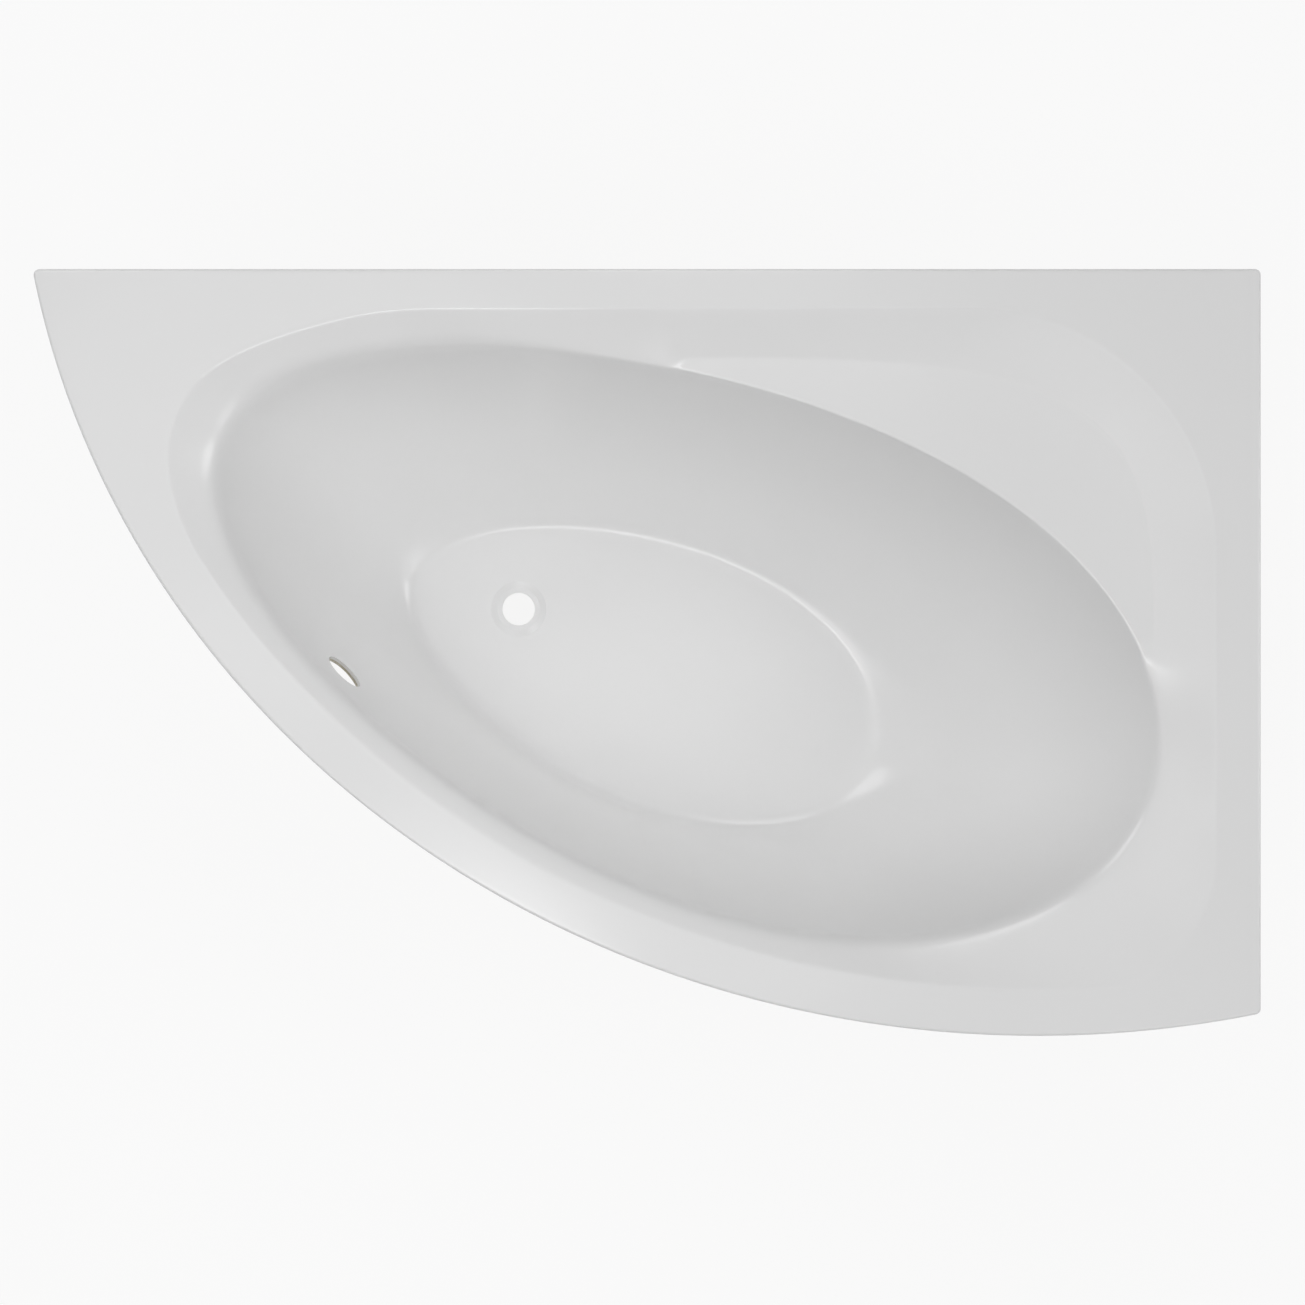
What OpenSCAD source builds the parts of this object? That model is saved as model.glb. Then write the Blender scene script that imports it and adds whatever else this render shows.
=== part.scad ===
// Asymmetric corner bathtub, formed from acrylic sheet and carried on a levelling cradle.
// Millimetres, +Z up. The origin lies on the floor under the middle of the tub's box.
// The long back wall is at +Y, the side wall at +X, and the bow faces -Y.

/* [Rim] */
// Length along the back wall
bath_l = 1600; // [1500:10:1750]
// Width from the back wall to the deepest point of the bow
bath_w = 1000; // [920:10:1100]
// Height of the rim above the floor at mid travel of the feet
rim_z = 600; // [575:5:680]
// Distance of the bow's deepest point from the side wall
bow_side = 291; // [200:1:450]
// Half width of the ellipse that draws the bow
bow_b = 1210; // [1050:5:1500]
// Radius of the three outer corners
corner_r = 8; // [6:1:14]
// Height of the lip that hangs from the rim
lip_h = 40; // [30:1:50]
// Radius along the top of the lip
lip_r = 5; // [3:0.5:6]
// Width of the flat rim along the back wall
rim_back = 52; // [47:1:60]
// Width of the flat rim along the side wall
rim_side = 59; // [47:1:66]
// Width of the flat rim along the bow
rim_bow = 61; // [47:1:66]
// Corner radius of the flat rim's inner edge at the head corner
head_r = 320; // [250:5:360]
// Corner radius of the flat rim's inner edge at the foot corner
foot_r = 170; // [100:5:200]
// Sharpness of the flat rim's inner edge at the tip, where 2 is a plain ellipse
tip_sharp = 3.1; // [2.5:0.1:4]
// Angle over which that soft tip fades into the straight runs
tip_spread = 20; // [15:1:30]
// Half width of the rounding along the flat rim's inner edge
rim_edge = 5; // [3:0.5:8]

/* [Ledge and basin] */
// Depth of the ledge below the rim
ledge_drop = 30; // [20:1:40]
// Distance from the back wall to the bottom of the bevel on the ledge
ledge_back = 112; // [105:1:120]
// Distance from the side wall to the bottom of the bevel on the ledge
ledge_side = 132; // [126:1:142]
// Sharpness of that line's corner, where 2 is a plain ellipse
ledge_sharp = 4.1; // [3.5:0.1:5]
// Fall of the bevel over each millimetre of its width, until it meets the ledge
bevel_fall = 0.56; // [0.5:0.01:0.7]
// Least width of the bevel between the rim and the basin
bevel_min = 16; // [12:1:24]
// Rounding of the basin's upper edge
edge_r = 10; // [8:1:14]
// Distance from the tip end to the basin's edge
basin_tip = 222; // [205:1:240]
// Distance from the side wall to the basin's edge
basin_side = 134; // [124:1:145]
// Distance from the back wall to the basin's edge
basin_back = 79; // [74:1:95]
// Distance from the bow's deepest point to the basin's edge
basin_bow = 141; // [132:1:155]
// Turn of the basin against the back wall
basin_turn = -21.2; // [-24:0.2:-18]
// Taper of the basin's egg shape towards the drain end
basin_taper = 0.158; // [0.05:0.002:0.2]
// Bend of the basin's long axis towards the back at both ends
basin_bend = 12; // [0:1:16]
// Height of the floor's face at the drain, which leaves room for the trap
z_drain = 170; // [165:1:200]
// Run of the wall at the tip end, from the basin's edge in to the floor
lean_tip = 199; // [185:1:225]
// Run of the backrest, from the basin's edge in to the floor
lean_rest = 308; // [285:1:335]
// Run of the wall along the back
lean_back = 208; // [195:1:225]
// Run of the wall along the bow
lean_bow = 97; // [90:1:112]
// Taper of the floor's egg shape towards the drain end
floor_taper = 0.128; // [0.05:0.002:0.2]
// Fall of the floor to the drain end over its whole length
floor_fall = 6; // [3:0.5:9]

/* [Skins] */
// Thickness of the acrylic sheet
acrylic_t = 4; // [3:0.5:5]
// Thickness of the glass fibre laminate on its back
laminate_t = 4; // [2.5:0.5:5]
// Gap between faces that are bonded or bear on each other
seat_gap = 0.1; // [0.1:0.05:0.3]
// Distance from the rim's outline in to the edge of the laminate
laminate_inset = 8; // [7:0.5:12]

/* [Drain and overflow] */
// Distance of the drain from the middle of the floor towards the drain end
drain_run = 217; // [200:1:230]
// Distance of the drain from the floor's long axis towards the back
drain_off = 16.4; // [-20:0.2:20]
// Radius of the drain hole
drain_r = 26; // [20:0.5:30]
// Radius of the seat pressed into the floor round the drain
drain_seat_r = 39; // [34:0.5:44]
// Depth of that seat
drain_seat_h = 3; // [2:0.5:4]
// Radius of the overflow hole
overflow_r = 28.5; // [22:0.5:30]
// Depth of the overflow's middle below the rim
overflow_drop = 110; // [90:1:150]
// Direction of the overflow seen from the middle of the floor
overflow_turn = 180.3; // [165:0.1:195]
// Radius of the clearance round the waste fitting in the board
waste_r = 65; // [55:1:75]

/* [Board and battens] */
// Thickness of the base board
board_t = 16; // [12:1:22]
// Distance from the floor's edge in to the edge of the board
board_inset = 14; // [10:1:30]
// Least thickness of the bonding bed on the board
bed_t = 1.5; // [1:0.5:4]
// Width of a rim batten
batten_w = 32; // [24:1:34]
// Distance from the rim's outline in to a batten
batten_inset = 9; // [8.5:0.5:12]
// Distance by which the battens reach below the lip
batten_drop = 2; // [1:0.5:4]
// Distance of a batten's end from the corner it runs to
batten_end = 60; // [50:1:90]
// Length of the block's leg in the head corner
head_block = 190; // [150:5:220]
// Length of the block at the tip
tip_block_l = 170; // [140:5:200]
// Width of that block along the back batten
tip_block_w = 102; // [80:1:120]
// Gap between a block and the battens round it
block_gap = 0.5; // [0.3:0.1:0.9]
// Least gap between the bow's batten and the laminate beside it
batten_gap = 1; // [0.5:0.5:3]

/* [Cradle] */
// Distance of the drain end rail from the middle of the floor
rail_drain_x = -96; // [-110:1:-60]
// Distance of the head end rail from the middle of the floor
rail_head_x = 220; // [180:1:240]
// Length of rail beyond each foot
rail_end = 28; // [20:1:40]
// Width of a rail
rail_w = 40; // [36:1:50]
// Height of a rail
rail_h = 25; // [20:1:30]
// Thickness of the rail's sheet steel
rail_t = 2.5; // [2:0.5:3]
// Outer bend radius of the rail
rail_bend = 4; // [3.5:0.5:6]
// Distance of a foot beyond the floor's half width
foot_out = 83; // [75:1:88]
// Distance of a rail's outer screws from the edge of the board
rail_screw_edge = 48; // [36:1:70]
// Distance of the centre foot from the middle of the floor
centre_x = 62; // [30:1:90]
// Length of the centre foot's bracket along its top
centre_l = 130; // [120:1:150]
// Width of the flange at each end of that bracket
centre_flange = 28; // [24:1:32]
// Gap left under the board when the centre foot is fully up
centre_clear = 4; // [2:0.5:8]

/* [Feet] */
// Radius of the levelling stud
stud_r = 6; // [5:0.5:8]
// Radial clearance of the stud in its nuts
thread_gap = 0.05; // [0.03:0.01:0.08]
// Radial clearance of the stud in the rail
stud_clear = 0.6; // [0.5:0.1:1]
// Travel of a foot up from its rest height
travel_up = 15; // [10:1:18]
// Travel of a foot down from its rest height
travel_down = 25; // [15:1:30]
// Length of stud left above its lock nut when the foot is fully down
stud_tail = 1.5; // [1:0.5:4]
// Width across flats of a nut
nut_af = 19; // [17:0.5:22]
// Height of a nut
nut_h = 10; // [8:0.5:12]
// Width across flats of the stud's turning collar
collar_af = 17; // [15:0.5:19]
// Height of the turning collar
collar_h = 8; // [6:0.5:10]
// Radius of a foot pad
pad_r = 25; // [22:0.5:30]
// Radius of the pad's top
pad_top_r = 13; // [12:0.5:16]
// Height of a foot pad
pad_h = 16; // [14:0.5:20]
// Height of the pad's rim
pad_rim_h = 5; // [3:0.5:6]
// Radius of the spigot under the stud
spigot_r = 5; // [4:0.5:6]
// Radial clearance of the spigot in its socket
spigot_gap = 0.08; // [0.05:0.01:0.1]
// Thickness of the pad under the spigot
pad_floor = 5; // [4:0.5:6]

/* [Wall brackets] */
// Spacing of the two brackets on the back wall
bracket_back_gap = 900; // [800:10:1000]
// Spacing of the two brackets on the side wall
bracket_side_gap = 420; // [360:10:440]
// Distance of their middle from the middle of the width
bracket_side_mid = 20; // [-20:5:60]
// Width of a bracket
bracket_w = 40; // [34:1:50]
// Height of the bracket's wall leg
bracket_h = 60; // [50:1:80]
// Thickness of the bracket's steel
bracket_t = 2.5; // [2:0.5:3]
// Radius of the wall screw's hole
bracket_hole_r = 4; // [3:0.5:5]
// Distance of that hole below the batten
bracket_hole_drop = 33; // [25:1:38]

/* [Screws] */
// Radius of a wood screw's shank
screw_r = 2.2; // [2:0.1:2.6]
// Radial clearance of a shank in its hole
screw_gap = 0.1; // [0.1:0.05:0.3]
// Radius of a screw's head
screw_head_r = 4.4; // [4:0.2:5]
// Height of a screw's head
screw_head_h = 2.6; // [2:0.2:3.2]
// Length of a screw below its head
screw_l = 15; // [12:1:16]
// Length of a screw's point
screw_point = 3; // [2:0.5:4]

/* [Hidden] */
$fn = 64;
far = 1e6;
nudge = 0.01;
// How far a cutter runs past the faces it cuts
past = 1;
// How far a solid runs into the one it's joined to
bite = 1;
// Chamfer at the top of a stud
stud_end = 1;
// Chamfer round a foot pad
pad_edge = 1;
// How far the laminate stays back from the pressed seat
seat_free = 1;

// Colours
acrylic_white = [0.93, 0.94, 0.95];
laminate_tan = [0.82, 0.80, 0.70];
resin_grey = [0.66, 0.66, 0.60];
chipboard = [0.78, 0.63, 0.42];
pine = [0.86, 0.72, 0.50];
zinc = [0.72, 0.74, 0.77];
pad_black = [0.14, 0.14, 0.15];

// Plan of the rim
x_side = bath_l / 2;
y_back = bath_w / 2;
bow_mid = x_side - bow_side;
bow_cy = bow_b - bath_w / 2;
bow_a = corner_r + (bow_mid + x_side - corner_r)
    / sqrt(1 - pow((bow_cy - y_back + corner_r) / (bow_b - corner_r), 2));

// Boxes of the basin's edge and of the floor's edge, as [x low, x high, y low, y high]
basin_box = [-x_side + basin_tip, x_side - basin_side, -y_back + basin_bow, y_back - basin_back];
floor_box = [
    basin_box[0] + lean_tip, basin_box[1] - lean_rest,
    basin_box[2] + lean_bow, basin_box[3] - lean_back
];
basin_egg = egg_in(basin_box, basin_turn, basin_taper, basin_bend);
floor_egg = egg_in(floor_box, basin_turn, floor_taper, 0);

// Every height ring of the tub is met by rays from the middle of the floor
pole = floor_egg[0];
floor_axis = [cos(basin_turn), sin(basin_turn)];
floor_side = [-sin(basin_turn), cos(basin_turn)];
drain = on_floor(-drain_run, drain_off);

// Heights
z_ledge = rim_z - ledge_drop;
z_laminate = rim_z - acrylic_t - seat_gap;
z_batten_top = z_laminate - laminate_t - seat_gap;
z_batten = rim_z - lip_h - batten_drop;
z_floor_low = floor_z(pole - floor_egg[1] * floor_axis);
z_bed_top = z_drain - acrylic_t - laminate_t - 2 * seat_gap;
z_board = z_floor_low - z_drain + z_bed_top - bed_t - board_t;
z_rail = z_board - seat_gap;
z_web = z_rail - rail_t;
stud_over = travel_down + stud_tail;
z_centre = z_board - centre_clear - travel_up - stud_over - nut_h - seat_gap - rail_t;

// Cradle
foot_y = floor_egg[2] + foot_out;
rail_l = 2 * (foot_y + rail_end);
rail_screw_gap = (floor_egg[2] - board_inset - rail_screw_edge) / 1.5;
rail_screw_y = [-1.5, -0.5, 0.5, 1.5] * rail_screw_gap;
centre_screw_x = [-1, 1] * (centre_l - centre_flange) / 2;

// How many points each stretch of a curve has
side_n = 16;
back_n = 24;
bow_tip_n = 24;
bow_foot_n = 6;
arc_n = 3;
board_n = 60;
strip_n = 60;
block_n = 12;

// Greatest sharpness of the flat rim's inner edge, away from the tip
sharp_most = 40;

// The wall between the basin's edge and the floor is one cubic curve along each ray
wall_top_run = 0.25;
wall_top_drop = 0.5;
wall_toe_run = 0.35;
wall_toe_rise = 0.1;
wall_steps = [0, 0.15, 0.3, 0.45, 0.58, 0.7, 0.8, 0.88, 0.95, 1];
edge_out = 0.29;
edge_down = 0.5;
bevel_end = 2;

// Feet, as [distance along the floor's axis, distance across it, underside of their steel]
rail_feet = [
    for (x = [rail_drain_x, rail_head_x], s = [-1, 1]) [x, s * foot_y, z_web]
];
feet = concat(rail_feet, [[centre_x, 0, z_centre]]);
collar_z = pad_h + seat_gap;
nut_bore = stud_r + thread_gap;
hex_factor = 2 / sqrt(3);

// A point given along and across the floor's long axis
function on_floor(x, y) = pole + x * floor_axis + y * floor_side;
function unit(v) = v / norm(v);
function reversed(v) = [for (i = [len(v) - 1 : -1 : 0]) v[i]];
function half_turn(a) = a < 0 ? a + 360 : a;

// An egg is [middle, half length, half width, turn, taper, bend of its long axis]
function egg_in(box, turn, taper, bend) =
    let (
        hx = (box[1] - box[0]) / 2,
        hy = (box[3] - box[2]) / 2,
        sum = hx * hx + hy * hy,
        spread = (hx * hx - hy * hy) / cos(2 * turn)
    )
    [
        [(box[0] + box[1]) / 2, (box[2] + box[3]) / 2],
        sqrt((sum + spread) / 2), sqrt((sum - spread) / 2), turn, taper, bend
    ];

// Distance from the pole to a curve along the unit vector d
function reach_ellipse(d, c, a, b) =
    let (
        q = [(pole.x - c.x) / a, (pole.y - c.y) / b],
        e = [d.x / a, d.y / b],
        m = q * e,
        n = e * e
    )
    (-m + sqrt(max(0, m * m - n * (q * q - 1)))) / n;
function reach_bow(d, in) = reach_ellipse(d, [bow_mid, bow_cy], bow_a - in, bow_b - in);
function reach_back(d, in) = d.y > 0.001 ? (y_back - in - pole.y) / d.y : far;
function reach_side(d, in) = d.x > 0.001 ? (x_side - in - pole.x) / d.x : far;
function reach_egg(d, egg, b, lift, n) =
    let (
        c = cos(egg[3]),
        s = sin(egg[3]),
        q = pole - egg[0],
        p = [q.x * c + q.y * s, q.y * c - q.x * s - lift],
        e = [d.x * c + d.y * s, d.y * c - d.x * s],
        qs = [p.x / egg[1], p.y / b],
        es = [e.x / egg[1], e.y / b],
        m = qs * es,
        r = (-m + sqrt(m * m - es * es * (qs * qs - 1))) / (es * es),
        u = (p.x + r * e.x) / egg[1]
    )
    n == 0 ? r : reach_egg(d, egg, egg[2] * (1 + egg[4] * u), egg[5] * u * u, n - 1);
function reach_basin(d) = reach_egg(d, basin_egg, basin_egg[2], 0, 12);
function reach_floor(d) = reach_egg(d, floor_egg, floor_egg[2], 0, 12);

// The bow at a given x or y, and its outward normal
function bow_y(x, in) = bow_cy - (bow_b - in) * sqrt(1 - pow((x - bow_mid) / (bow_a - in), 2));
function bow_x(y, in) = bow_mid - (bow_a - in) * sqrt(1 - pow((y - bow_cy) / (bow_b - in), 2));
function bow_normal(p, in) =
    unit([(p.x - bow_mid) / pow(bow_a - in, 2), (p.y - bow_cy) / pow(bow_b - in, 2)]);

// Centres of corner arcs that touch two of the three inset sides
function head_centre(side, back, r) = [x_side - side - r, y_back - back - r];
function foot_centre(side, bow, r) =
    let (x = x_side - side - r)
    [x, bow_y(x, bow + r)];
function tip_centre(back, bow, r) =
    let (y = y_back - back - r)
    [bow_x(y, bow + r), y];

// Reach to two sides that meet in an arc, between the outward normals u and v
function with_arc(d, straight, c, r, u, v) =
    let (q = pole + straight * d - c)
    cross(u, q) > 0 && cross(v, q) < 0 ? reach_ellipse(d, c, r, r) : straight;

// Inner edge of the flat rim: arcs at the head and the foot, a soft corner at the tip
function tip_angle(d) = acos(max(-1, min(1, d * unit([-x_side, y_back] - pole))));
function soft_corner(r1, r2, p) =
    min(r1, r2) * pow(1 + pow(min(r1, r2) / max(r1, r2), p), -1 / p);
function reach_tip(d) =
    soft_corner(reach_back(d, rim_back), reach_bow(d, rim_bow),
        min(sharp_most, tip_sharp + pow(tip_angle(d) / tip_spread, 4)));
function reach_rim(d) =
    let (
        straight = min(reach_tip(d), reach_side(d, rim_side)),
        head = head_centre(rim_side, rim_back, head_r),
        foot = foot_centre(rim_side, rim_bow, foot_r)
    )
    d.y > 0
        ? with_arc(d, straight, head, head_r, [1, 0], [0, 1])
        : with_arc(d, straight, foot, foot_r, bow_normal(foot, rim_bow + foot_r), [1, 0]);

// Bottom of the bevel where the ledge lies in front of the head corner
function reach_ledge(d) =
    d.x > 0 && d.y > 0
        ? soft_corner(reach_back(d, ledge_back), reach_side(d, ledge_side), ledge_sharp)
        : 0;

// The bevel's foot lies outside the basin's rounded edge, and its top leaves a least width
function reach_bevel(d) = max(reach_basin(d) + edge_r + bevel_end, reach_ledge(d));
function reach_flat(d) = max(reach_rim(d), reach_bevel(d) + bevel_min);

// Heights of the bevel's foot and, a little lower, of the basin's edge
function bevel_rise(d) =
    min(bevel_end, bevel_fall * (reach_bevel(d) - reach_basin(d) - edge_r));
function bevel_z(d) =
    max(z_ledge + bevel_rise(d), rim_z - bevel_fall * (reach_flat(d) - reach_bevel(d)));
function edge_z(d) = bevel_z(d) - bevel_rise(d);

// Outline of the rim, set in by a distance, from the side wall round by the back wall
function arc(c, r, from, to, n) =
    [for (i = [0 : n]) let (a = from + (to - from) * i / n) c + r * [cos(a), sin(a)]];
function between(p, q, n) = [for (i = [1 : n]) p + (q - p) * i / (n + 1)];
function on_bow(a, in) = [bow_mid, bow_cy] + [(bow_a - in) * cos(a), (bow_b - in) * sin(a)];
function bow_angle(p, in) =
    half_turn(atan2((p.y - bow_cy) / (bow_b - in), (p.x - bow_mid) / (bow_a - in)));
function bow_run(from, to, n, in) =
    [for (i = [1 : n]) on_bow(from + (to - from) * i / (n + 1), in)];
function outline(in) =
    let (
        r = max(corner_r - in, 0.5),
        head = head_centre(0, 0, corner_r),
        foot = foot_centre(0, 0, corner_r),
        tip = tip_centre(0, 0, corner_r),
        foot_n = bow_normal(foot, corner_r),
        tip_n = bow_normal(tip, corner_r),
        inset = max(in, corner_r - r),
        low = 270
    )
    concat(
        between([x_side - in, foot.y], [x_side - in, head.y], side_n),
        arc(head - (inset - corner_r + r) * [1, 1], r, 0, 90, arc_n),
        between([head.x, y_back - in], [tip.x, y_back - in], back_n),
        arc(tip - (inset - corner_r + r) * [-1, 1], r, 90, 180, arc_n),
        bow_run(bow_angle(tip, corner_r), low, bow_tip_n, in),
        [on_bow(low, in)],
        bow_run(low, bow_angle(foot, corner_r), bow_foot_n, in),
        arc(foot - (inset - corner_r + r) * [1, -1], r, atan2(foot_n.y, foot_n.x), 0, arc_n)
    );

// Rays and the distances along them that shape the tub
rays = [for (p = outline(0)) unit(p - pole)];
basin_reach = [for (d = rays) reach_basin(d)];
floor_reach = [for (d = rays) reach_floor(d)];
bevel_reach = [for (d = rays) reach_bevel(d)];
rim_reach = [for (d = rays) reach_flat(d)];
bevel_height = [for (d = rays) bevel_z(d)];
edge_height = [for (d = rays) edge_z(d)];

function floor_z(p) = z_drain + floor_fall * ((p - drain) * floor_axis) / (2 * floor_egg[1]);
function ring(reach, z) =
    [
        for (i = [0 : len(rays) - 1])
        let (p = pole + reach[i] * rays[i])
        [p.x, p.y, is_list(z) ? z[i] : z]
    ];
function level(points, z) = [for (p = points) [p.x, p.y, z]];
function moved(values, by) = [for (v = values) v + by];

// One point of the wall at the share s of its way down from the height head
function wall_at(d, top, toe, head, s) =
    let (
        run = top - toe,
        foot = pole + toe * d,
        z = floor_z(foot),
        h = head - z,
        r1 = top - wall_top_run * run,
        z1 = head - wall_top_drop * h,
        r2 = toe + wall_toe_run * run,
        z2 = z + wall_toe_rise * h,
        t = 1 - s,
        r = t * t * t * top + 3 * t * t * s * r1 + 3 * t * s * s * r2 + s * s * s * toe,
        p = pole + r * d
    )
    [p.x, p.y, t * t * t * head + 3 * t * t * s * z1 + 3 * t * s * s * z2 + s * s * s * z];
function wall_ring(s) =
    [
        for (i = [0 : len(rays) - 1])
        wall_at(rays[i], basin_reach[i], floor_reach[i], edge_height[i] - edge_r, s)
    ];

// Rows of the visible face, from the lip's foot over the rim and down to the floor
lip_rows = [
    level(outline(0), rim_z - lip_h),
    level(outline(0), rim_z - lip_r),
    level(outline(edge_out * lip_r), rim_z - edge_out * lip_r),
    level(outline(lip_r), rim_z)
];
form_rows = concat(
    [
        ring(moved(rim_reach, rim_edge), rim_z),
        ring(moved(rim_reach, -rim_edge), rim_z - rim_edge * edge_out),
        ring(bevel_reach, bevel_height),
        ring(moved(basin_reach, edge_r), edge_height),
        ring(moved(basin_reach, edge_out * edge_r), moved(edge_height, -edge_down * edge_r))
    ],
    [for (s = wall_steps) wall_ring(s)]
);

// The same rows set back by t square to the face
function square_to(rows, j, i) =
    let (
        n = len(rows[j]),
        along = rows[j][(i + 1) % n] - rows[j][(i + n - 1) % n],
        down = rows[min(j + 1, len(rows) - 1)][i] - rows[max(j - 1, 0)][i]
    )
    unit(cross(along, down));
function set_back(t) =
    [
        for (j = [0 : len(form_rows) - 1])
        j == 0 || j == len(form_rows) - 1
            ? [for (p = form_rows[j]) p - [0, 0, t]]
            : [
                for (i = [0 : len(form_rows[j]) - 1])
                form_rows[j][i] - t * square_to(form_rows, j, i)
            ]
    ];

// Overflow: where it meets the wall, and the wall's normal there
function on_wall(a, s) =
    let (d = [cos(a), sin(a)])
    wall_at(d, reach_basin(d), reach_floor(d), edge_z(d) - edge_r, s);
function wall_share(a, z, low, high, n) =
    let (s = (low + high) / 2)
    n == 0 ? s
        : on_wall(a, s).z > z ? wall_share(a, z, s, high, n - 1)
        : wall_share(a, z, low, s, n - 1);
overflow_s = wall_share(overflow_turn, rim_z - overflow_drop, 0, 1, 16);
overflow_at = on_wall(overflow_turn, overflow_s);
overflow_n = unit(cross(
    on_wall(overflow_turn, overflow_s + nudge) - on_wall(overflow_turn, overflow_s - nudge),
    on_wall(overflow_turn + 1, overflow_s) - on_wall(overflow_turn - 1, overflow_s)
));

// A closed skin through rows of points, each row a ring that runs anticlockwise. Its inner
// rows rise from the floor and its outer rows come down again, split along matching lines.
module loft(inner, outer) {
    rows = concat(inner, outer);
    n = len(rows[0]);
    last = (len(rows) - 1) * n;
    polyhedron(
        points = [for (row = rows) each row],
        faces = concat(
            [[for (i = [n - 1 : -1 : 0]) i]],
            [[for (i = [0 : n - 1]) last + i]],
            [
                for (j = [0 : len(rows) - 2], i = [0 : n - 1])
                let (a = j * n + i, b = j * n + (i + 1) % n)
                each j < len(inner)
                    ? [[b, b + n, a], [a, b + n, a + n]]
                    : [[b, b + n, a + n], [b, a + n, a]]
            ]
        )
    );
}

module overflow_cut() {
    translate(overflow_at)
        rotate([0, acos(overflow_n.z), atan2(overflow_n.y, overflow_n.x)])
            cylinder(r = overflow_r, h = 8 * (acrylic_t + laminate_t), center = true);
}

module at_drain(z) {
    translate([drain.x, drain.y, z]) children();
}

module on_cradle(x, y, z) {
    p = on_floor(x, y);
    translate([p.x, p.y, z]) rotate(basin_turn) children();
}

// The formed acrylic sheet: lip, flat rim, bevel, ledge, walls and floor in one skin
module acrylic_shell() {
    seat_z = z_drain - drain_seat_h;
    color(acrylic_white)
        difference() {
            union() {
                loft(
                    concat(reversed(form_rows), reversed(lip_rows)),
                    concat(
                        [
                            level(outline(acrylic_t), rim_z - lip_h),
                            level(outline(acrylic_t), rim_z - acrylic_t)
                        ],
                        set_back(acrylic_t)
                    )
                );
                at_drain(seat_z - acrylic_t)
                    cylinder(r = drain_seat_r + acrylic_t, h = acrylic_t + drain_seat_h - bite);
            }
            at_drain(seat_z) cylinder(r = drain_seat_r, h = 2 * drain_seat_h);
            at_drain(seat_z - 2 * acrylic_t) cylinder(r = drain_r, h = 4 * acrylic_t);
            overflow_cut();
        }
}

// Chopped glass and resin on the back of the sheet, open round the drain's seat
module glassfibre_laminate() {
    near = acrylic_t + seat_gap;
    color(laminate_tan)
        difference() {
            loft(
                reversed(set_back(near)),
                concat(
                    [
                        level(outline(laminate_inset), z_laminate),
                        level(outline(laminate_inset), z_laminate - laminate_t)
                    ],
                    set_back(near + laminate_t)
                )
            );
            at_drain(z_drain - 3 * near - laminate_t)
                cylinder(r = drain_seat_r + near + seat_free, h = 4 * near + laminate_t);
            overflow_cut();
        }
}

// Plan of the board under the floor
function egg_points(inset, n) =
    [
        for (i = [0 : n - 1])
        let (d = [cos(360 * i / n), sin(360 * i / n)])
        pole + (reach_floor(d) - inset) * d
    ];

module board_plan() {
    difference() {
        polygon(egg_points(board_inset, board_n));
        translate(drain) circle(r = waste_r);
    }
}

// Resin bed that levels the sloping laminate on the flat board
module bonding_bed() {
    slope = atan(floor_fall / (2 * floor_egg[1]));
    z = z_board + board_t + seat_gap;
    color(resin_grey)
        difference() {
            translate([0, 0, z]) linear_extrude(z_bed_top - z + 2 * floor_fall) board_plan();
            at_drain(z_bed_top - seat_gap)
                rotate(basin_turn)
                    rotate([0, -slope, 0])
                        translate([-bath_l / 2, -bath_w / 2, 0])
                            cube([bath_l, bath_w, 4 * floor_fall]);
        }
}

module base_board() {
    color(chipboard)
        difference() {
            translate([0, 0, z_board]) linear_extrude(board_t) board_plan();
            each_board_screw() pilot_hole();
        }
}

module each_board_screw() {
    for (x = [rail_drain_x, rail_head_x], y = rail_screw_y)
        on_cradle(x, y, z_web - seat_gap) children();
    for (x = centre_screw_x)
        on_cradle(centre_x + x, 0, z_web - seat_gap) children();
}

module pilot_hole() {
    cylinder(r = screw_r + screw_gap, h = screw_l + past);
}

// A wood screw driven upwards, with its head's bearing face at z = 0
module wood_screw() {
    shank = screw_l - screw_point;
    cylinder(r = screw_r, h = shank);
    translate([0, 0, shank]) cylinder(r1 = screw_r, r2 = screw_r / 4, h = screw_point);
    translate([0, 0, -screw_head_h])
        rotate_extrude()
            polygon([
                [0, 0], [0.6 * screw_head_r, 0], [0.9 * screw_head_r, 0.3 * screw_head_h],
                [screw_head_r, 0.7 * screw_head_h], [screw_head_r, screw_head_h], [0, screw_head_h]
            ]);
}

// Timber under the flat rim
module batten(z_top) {
    translate([0, 0, z_batten]) linear_extrude(z_top - z_batten) children();
}

module rim_batten_back() {
    y = y_back - batten_inset - batten_w;
    x0 = tip_centre(0, 0, corner_r).x + batten_end;
    x1 = x_side - batten_inset;
    color(pine)
        difference() {
            batten(z_batten_top) translate([x0, y]) square([x1 - x0, batten_w]);
            each_bracket_screw() pilot_hole();
        }
}

module rim_batten_side() {
    y0 = foot_centre(0, 0, corner_r).y + batten_end;
    y1 = y_back - batten_inset - batten_w - seat_gap;
    x = x_side - batten_inset - batten_w;
    color(pine)
        difference() {
            batten(z_batten_top) translate([x, y0]) square([batten_w, y1 - y0]);
            each_bracket_screw() pilot_hole();
        }
}

// The bow's batten is a strip kerfed to the curve, and trimmed where the bevel comes near
function beside_laminate(p) =
    let (d = unit(p - pole))
    pole + max(norm(p - pole), reach_flat(d) + rim_edge + batten_gap) * d;

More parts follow.
